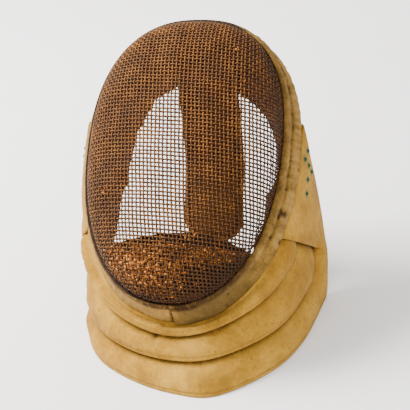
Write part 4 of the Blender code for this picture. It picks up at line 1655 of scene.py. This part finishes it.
    def build_pad(self) -> None:
        """Build the crumbling chin pad and the crumbs that lie on it."""
        grid = self.pad_grid(130, 60)
        normals = grid_normals(grid, self.rim.out_face)
        places = [Vector(place) for place in grid.reshape(-1, 3)]
        rough = np.array([noise.fractal(place * 160.0, 1.0, 2.2, 3) * 0.9
                          + noise.noise(place * 700.0) * 0.45 for place in places])
        rough = rough.reshape(grid.shape[:2])
        run = np.linspace(0.0, 1.0, grid.shape[1])[None, :]
        side = np.linspace(0.0, 1.0, grid.shape[0])[:, None]
        fade = (ease(run * 8.0) * ease((1.0 - run) * 10.0)
                * ease(side * 12.0) * ease((1.0 - side) * 12.0))
        half = 0.5 * self.sizes.pad
        outer = grid + normals * (half + (0.0026 * rough - 0.0010) * fade)[..., None]
        inner = grid - normals * half
        dark_side = (ease((side - 0.46 + 0.10 * rough) / 0.08) * ease((run - 0.04) / 0.10)
                     * ease((0.62 - 0.10 * side - run + 0.08 * rough) / 0.08))
        shade = np.maximum(ease((run - 0.79 + 0.06 * rough) / 0.05), dark_side)
        fold = unit(shade + 0.6 * bell(run, 0.0, 0.08) + np.clip(-rough * 0.6, 0.0, 0.5))
        mesh = PieceMesh.sheet(outer, inner, None, {"fold": fold * np.ones_like(rough)})
        finish = Crumble().make()
        piece = mesh.to_object("crumbling_pad", finish, angle=70.0)
        self.dress(piece, "crumbled_padding", ["chin_pad"])
        dice = np.random.default_rng(77)
        places = []
        for _ in range(1500):
            i = int(np.clip(dice.normal(0.38, 0.22), 0.04, 0.96) * (grid.shape[0] - 1))
            j = int(np.clip(dice.normal(0.50, 0.18), 0.06, 0.78) * (grid.shape[1] - 1))
            if dice.uniform() < 1.5 * shade[i, j]:
                continue
            places.append(outer[i, j] + normals[i, j] * 0.0004)
        shade = dice.choice([0.0, 0.2, 0.85], len(places), p=[0.5, 0.2, 0.3])
        crumbs = Crumbs(np.array(places), small=0.0008, large=0.0026, seed=78).mesh(shade)
        piece = crumbs.to_object("chin_crumbs", finish, smooth=False)
        self.dress(piece, "crumbled_padding")

    def build(self) -> None:
        """Build the wall, the tongue and the pad."""
        self.build_wall()
        self.build_tongue()
        self.build_pad()


@dataclass(frozen=True)
class Crumbs:
    """Loose bits, each a dented ball of twelve points.

    Args:
        places: where they lie.
        small: least radius.
        large: greatest radius.
        seed: picks their shapes.
    """

    places: np.ndarray
    small: float
    large: float
    seed: int

    def mesh(self, shade: np.ndarray) -> PieceMesh:
        """All bits as one mesh of triangles.

        Args:
            shade: how dark each bit is painted, from 0 to 1.

        Returns:
            The joined bits.
        """
        gold = (1.0 + math.sqrt(5.0)) / 2.0
        ball = []
        for a, b in ((1.0, gold), (-1.0, gold), (1.0, -gold), (-1.0, -gold)):
            ball += [(a, b, 0.0), (0.0, a, b), (b, 0.0, a)]
        ball = np.array(ball) / math.hypot(1.0, gold)
        near = np.linalg.norm(ball[:, None] - ball[None], axis=-1) < 1.1
        sides = []
        for i, j, k in combinations(range(len(ball)), 3):
            if near[i, j] and near[j, k] and near[i, k]:
                facing = np.cross(ball[j] - ball[i], ball[k] - ball[i]) @ ball[i]
                sides.append((i, j, k) if facing > 0.0 else (i, k, j))
        dice = np.random.default_rng(self.seed)
        count = len(self.places)
        radius = dice.uniform(self.small, self.large, (count, 1, 1))
        dents = dice.uniform(0.55, 1.25, (count, len(ball), 1))
        stretch = dice.uniform(0.6, 1.4, (count, 1, 3))
        points = self.places[:, None] + ball[None] * dents * stretch * radius
        faces = np.array(sides)[None] + (np.arange(count) * len(ball))[:, None, None]
        return PieceMesh(points.reshape(-1, 3), faces.reshape(-1, 3),
                         paint={"fold": np.repeat(shade, len(ball))})


@dataclass(frozen=True)
class FlapSizes:
    """Sizes of the ear flaps."""

    foot: float = 62.0
    foot_run: float = 10.0
    puff: float = 0.0030
    seam_share: float = 0.71
    wave: float = 0.00022
    wave_length: float = 0.018
    green: tuple = (70, 96, 58)
    hole_shade: tuple = (30, 22, 12)


class EarFlaps(SubAssembly):
    """Ear flaps that run from the bib's corners up the binding, with their eyelets."""

    def __init__(self, form: BibForm, sizes: FlapSizes) -> None:
        """Find where the eyelets are.

        Args:
            form: lie of the bib that the flaps belong to.
            sizes: the flaps' own sizes.
        """
        super().__init__("ear flaps")
        self.form = form
        self.sizes = sizes
        self.eyelets = [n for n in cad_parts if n.startswith("eyelet")]

    def suede(self) -> bpy.types.Material:
        """Flap leather with green stains round the eyelets and painted shade in their holes."""
        paint = Painter("flap suede", 0.92, sheen=0.04)
        colour, normal = Suede().base(paint)
        nearest = None
        for name in self.eyelets:
            low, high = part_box(name)
            node = paint.node("ShaderNodeVectorMath", {0: paint.places, 1: (low + high) / 2})
            node.operation = "DISTANCE"
            value = node.outputs["Value"]
            nearest = value if nearest is None else paint.sums(Sum.LEAST, nearest, value)
        blur = paint.sums(Sum.PLUS, nearest, paint.times(paint.noise(0.003), -0.004))
        stain = paint.sums(Sum.MINUS, 1.0, paint.spread(blur, 0.0004, 0.0034))
        colour = paint.lay(colour, self.sizes.green, stain, 0.9)
        # painted shade: a dark disc at each eyelet's middle, where its hole would show shade
        hole_shade = paint.sums(Sum.MINUS, 1.0, paint.spread(nearest, 0.0012, 0.0016))
        colour = paint.lay(colour, self.sizes.hole_shade, hole_shade)
        return paint.done(colour, normal)

    def build_flap(self, name: str, side: float, suede: bpy.types.Material) -> None:
        """Build one flap.

        Args:
            name: the solid that it stands for.
            side: 1 on the +X side, -1 on the other.
            suede: its finish.
        """
        form, sizes = self.form, self.sizes
        half = 0.5 * form.leather
        near = sizes.foot + np.array([0.0, 0.12, 0.3, 0.6, 1.0, 1.5])
        end = form.flap_top - 0.2
        stations = side * np.concatenate([near, np.linspace(sizes.foot + 2.2, end, 70)])
        section = form.section(stations)
        from_edge = np.concatenate([np.linspace(1.0, 0.0, 26, endpoint=False), [0.0]])
        close = np.minimum(1.0, section.length / 0.02)[:, None] * EDGE_ROWS[None, ::-1]
        room = np.maximum(section.length[:, None] - close[:, :1] - 0.0016, 0.0)
        rows = close[:, :1] + room * from_edge[None, :-1]
        edge = np.concatenate([rows, close], axis=1)
        share = 1.0 - edge / section.length[:, None]
        past = np.abs(stations)[:, None]
        foot = 1.0 - ease((past - 61.4) / sizes.foot_run)
        proud = sizes.puff * np.sin(math.pi * unit(share))
        middle = ease(share * 6.0) * (1.0 - ease(share * 1.5 - 0.5))
        proud = proud + form.upper_lift * foot * middle
        free = unit((share - sizes.seam_share) / (1.0 - sizes.seam_share))
        joined = ease((share - sizes.seam_share + 0.05) / 0.08)
        joined = joined * (1.0 - ease((past - sizes.foot) / 5.0))
        proud = proud + joined * (0.0030 * np.sin(math.pi * free) + 0.0004 - proud)
        grid = np.concatenate([form.under_band(stations), section.point(share, proud)], axis=1)
        edge = np.concatenate([edge[:, :1] + LEAD_ROWS[None], edge], axis=1)
        normals = grid_normals(grid, section.outward[:, None])
        tip = np.minimum(edge, (past - sizes.foot + 0.04) * 0.0028 + 0.0002)
        thick = half * (0.2 + 0.8 * rounded(tip / half))
        thick = thick * (0.25 + 0.75 * ease((form.flap_top - past) / 9.0))
        travelled = lengths_along(grid[:, grid.shape[1] // 2])
        run = np.broadcast_to(travelled[:, None], edge.shape)
        waves = Ripple(sizes.wave, sizes.wave_length, 71).over(run, edge)
        outer = grid + normals * (thick + waves * ease(edge / 0.006))[..., None]
        inner = grid - normals * thick[..., None]
        hidden = np.broadcast_to((np.arange(edge.shape[1]) < 2)[None, :], edge.shape)
        # painted shade on the rows hidden under the band and along the free edge, faded out
        # towards the flap's top
        fold = unit(0.5 * bell(edge, 0.0, 0.0010) + 0.8 * hidden)
        fold = fold * ease((form.flap_top - past) / 8.0)
        mesh = PieceMesh.sheet(outer, inner, None, {"fold": fold})
        piece = mesh.to_object(f"{name}_leather", suede, angle=60.0)
        self.dress(piece, "buff_leather", [name])

    def build(self) -> None:
        """Build both flaps and paint the eyelets."""
        suede = self.suede()
        self.build_flap("ear_flap_left", 1.0, suede)
        self.build_flap("ear_flap_right", -1.0, suede)
        green = Plain("green brass", (64, 92, 66), (38, 54, 40), spots=0.0015, roughness=0.7,
                      metallic=0.2).make()
        for name in self.eyelets:
            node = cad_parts[name]
            node.data.materials.clear()
            node.data.materials.append(green)
            self.pieces.append(node)


@dataclass(frozen=True)
class CameraPlace:
    """Where the camera stands, as the photo was taken."""

    yaw: float = 18.0
    elevation: float = 31.0
    roll: float = -8.0
    distance: float = 1.400
    picture: float = 410.0
    scale: float = 1050.0
    chin_pixel: tuple = (168.0, 306.3)
    sensor: float = 36.0


class Studio:
    """Ground, lights and camera."""

    def __init__(self, rim: Rim, place: CameraPlace) -> None:
        """Keep the rim, to aim at, and the camera's place."""
        self.rim = rim
        self.place = place

    def build_camera(self) -> None:
        """Stand the camera so that the chin lands where the photo has it."""
        place = self.place
        yaw, high, roll = (math.radians(a) for a in (place.yaw, place.elevation, place.roll))
        back = Vector((math.sin(yaw) * math.cos(high), -math.cos(yaw) * math.cos(high),
                       math.sin(high)))
        right = Vector((math.cos(yaw), math.sin(yaw), 0.0))
        top = back.cross(right)
        side = right * math.cos(roll) + top * math.sin(roll)
        top = -right * math.sin(roll) + top * math.cos(roll)
        focal = place.scale * place.distance
        half = 0.5 * place.picture
        over = (place.chin_pixel[0] - half) / focal * place.distance
        above = (half - place.chin_pixel[1]) / focal * place.distance
        chin = Vector((self.rim.seat[0], self.rim.seat[1], self.rim.chin_height))
        where = chin - side * over - top * above + back * place.distance
        data = bpy.data.cameras.new("camera")
        data.sensor_width = place.sensor
        data.lens = focal / place.picture * place.sensor
        data.clip_end = 50.0
        camera = bpy.data.objects.new("camera", data)
        turn = Matrix((side, top, back)).transposed().to_4x4()
        camera.matrix_world = Matrix.Translation(where) @ turn
        bpy.context.scene.collection.objects.link(camera)
        bpy.context.scene.camera = camera

    def build_floor(self) -> None:
        """Lay the pale ground."""
        size = 6.0
        corners = np.array([[-size, -size, 0.0], [size, -size, 0.0], [size, size, 0.0],
                            [-size, size, 0.0]])
        mesh = PieceMesh(corners, np.array([[0, 1, 2, 3]]))
        finish = Plain("pale paper", (246, 244, 242), (248, 246, 244), spots=0.5,
                       roughness=0.95).make()
        floor = mesh.to_object("ground", finish, smooth=False)
        floor.location.z = -0.0002

    def light(self, name: str, where: tuple, size: float, power: float,
              colour: tuple) -> None:
        """Hang a soft square light that looks at the mask."""
        data = bpy.data.lights.new(name, "AREA")
        data.size = size
        data.energy = power
        data.color = colour
        lamp = bpy.data.objects.new(name, data)
        lamp.location = where
        aim = Vector((0.0, -0.02, 0.12)) - Vector(where)
        lamp.rotation_euler = aim.to_track_quat("-Z", "Y").to_euler()
        bpy.context.scene.collection.objects.link(lamp)

    def build(self) -> None:
        """Build camera, ground, lights and sky."""
        self.build_camera()
        self.build_floor()
        self.light("key", (-1.2, 0.2, 1.5), size=0.8, power=112.0, colour=(1.0, 0.985, 0.96))
        self.light("fill", (0.4, -2.2, 1.5), size=2.0, power=16.0, colour=(1.0, 0.99, 0.98))
        world = bpy.data.worlds.new("sky")
        world.use_nodes = True
        inputs = world.node_tree.nodes["Background"].inputs
        inputs["Color"].default_value = (1.0, 0.99, 0.98, 1.0)
        inputs["Strength"].default_value = 1.36
        bpy.context.scene.world = world


def seated_rim() -> Rim:
    """The rim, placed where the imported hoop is."""
    low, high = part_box("rim_hoop")
    loose = Rim()
    ring = loose.point(np.linspace(-180.0, 180.0, 721), 0.0, 0.0)
    middle = 0.5 * (ring.min(0) + ring.max(0))
    return Rim(seat=(0.5 * (low.x + high.x) - middle[0], 0.5 * (low.y + high.y) - middle[1]))


def main() -> None:
    """Build the mask, part by part, and its surroundings."""
    logging.basicConfig(level=logging.INFO, format="%(name)s: %(message)s")
    rim = seated_rim()
    binding = BindingForm(rim)
    bib = BibForm(binding)
    parts = [
        WireFace(rim, WireSizes()),
        Binding(binding, BindingLook()),
        Bib(bib, TierLook()),
        EarFlaps(bib, FlapSizes()),
        Inside(rim, LiningSizes()),
    ]
    for part in parts:
        part.build()
        part.report()
    Studio(rim, CameraPlace()).build()


if __name__ == "__main__":
    main()
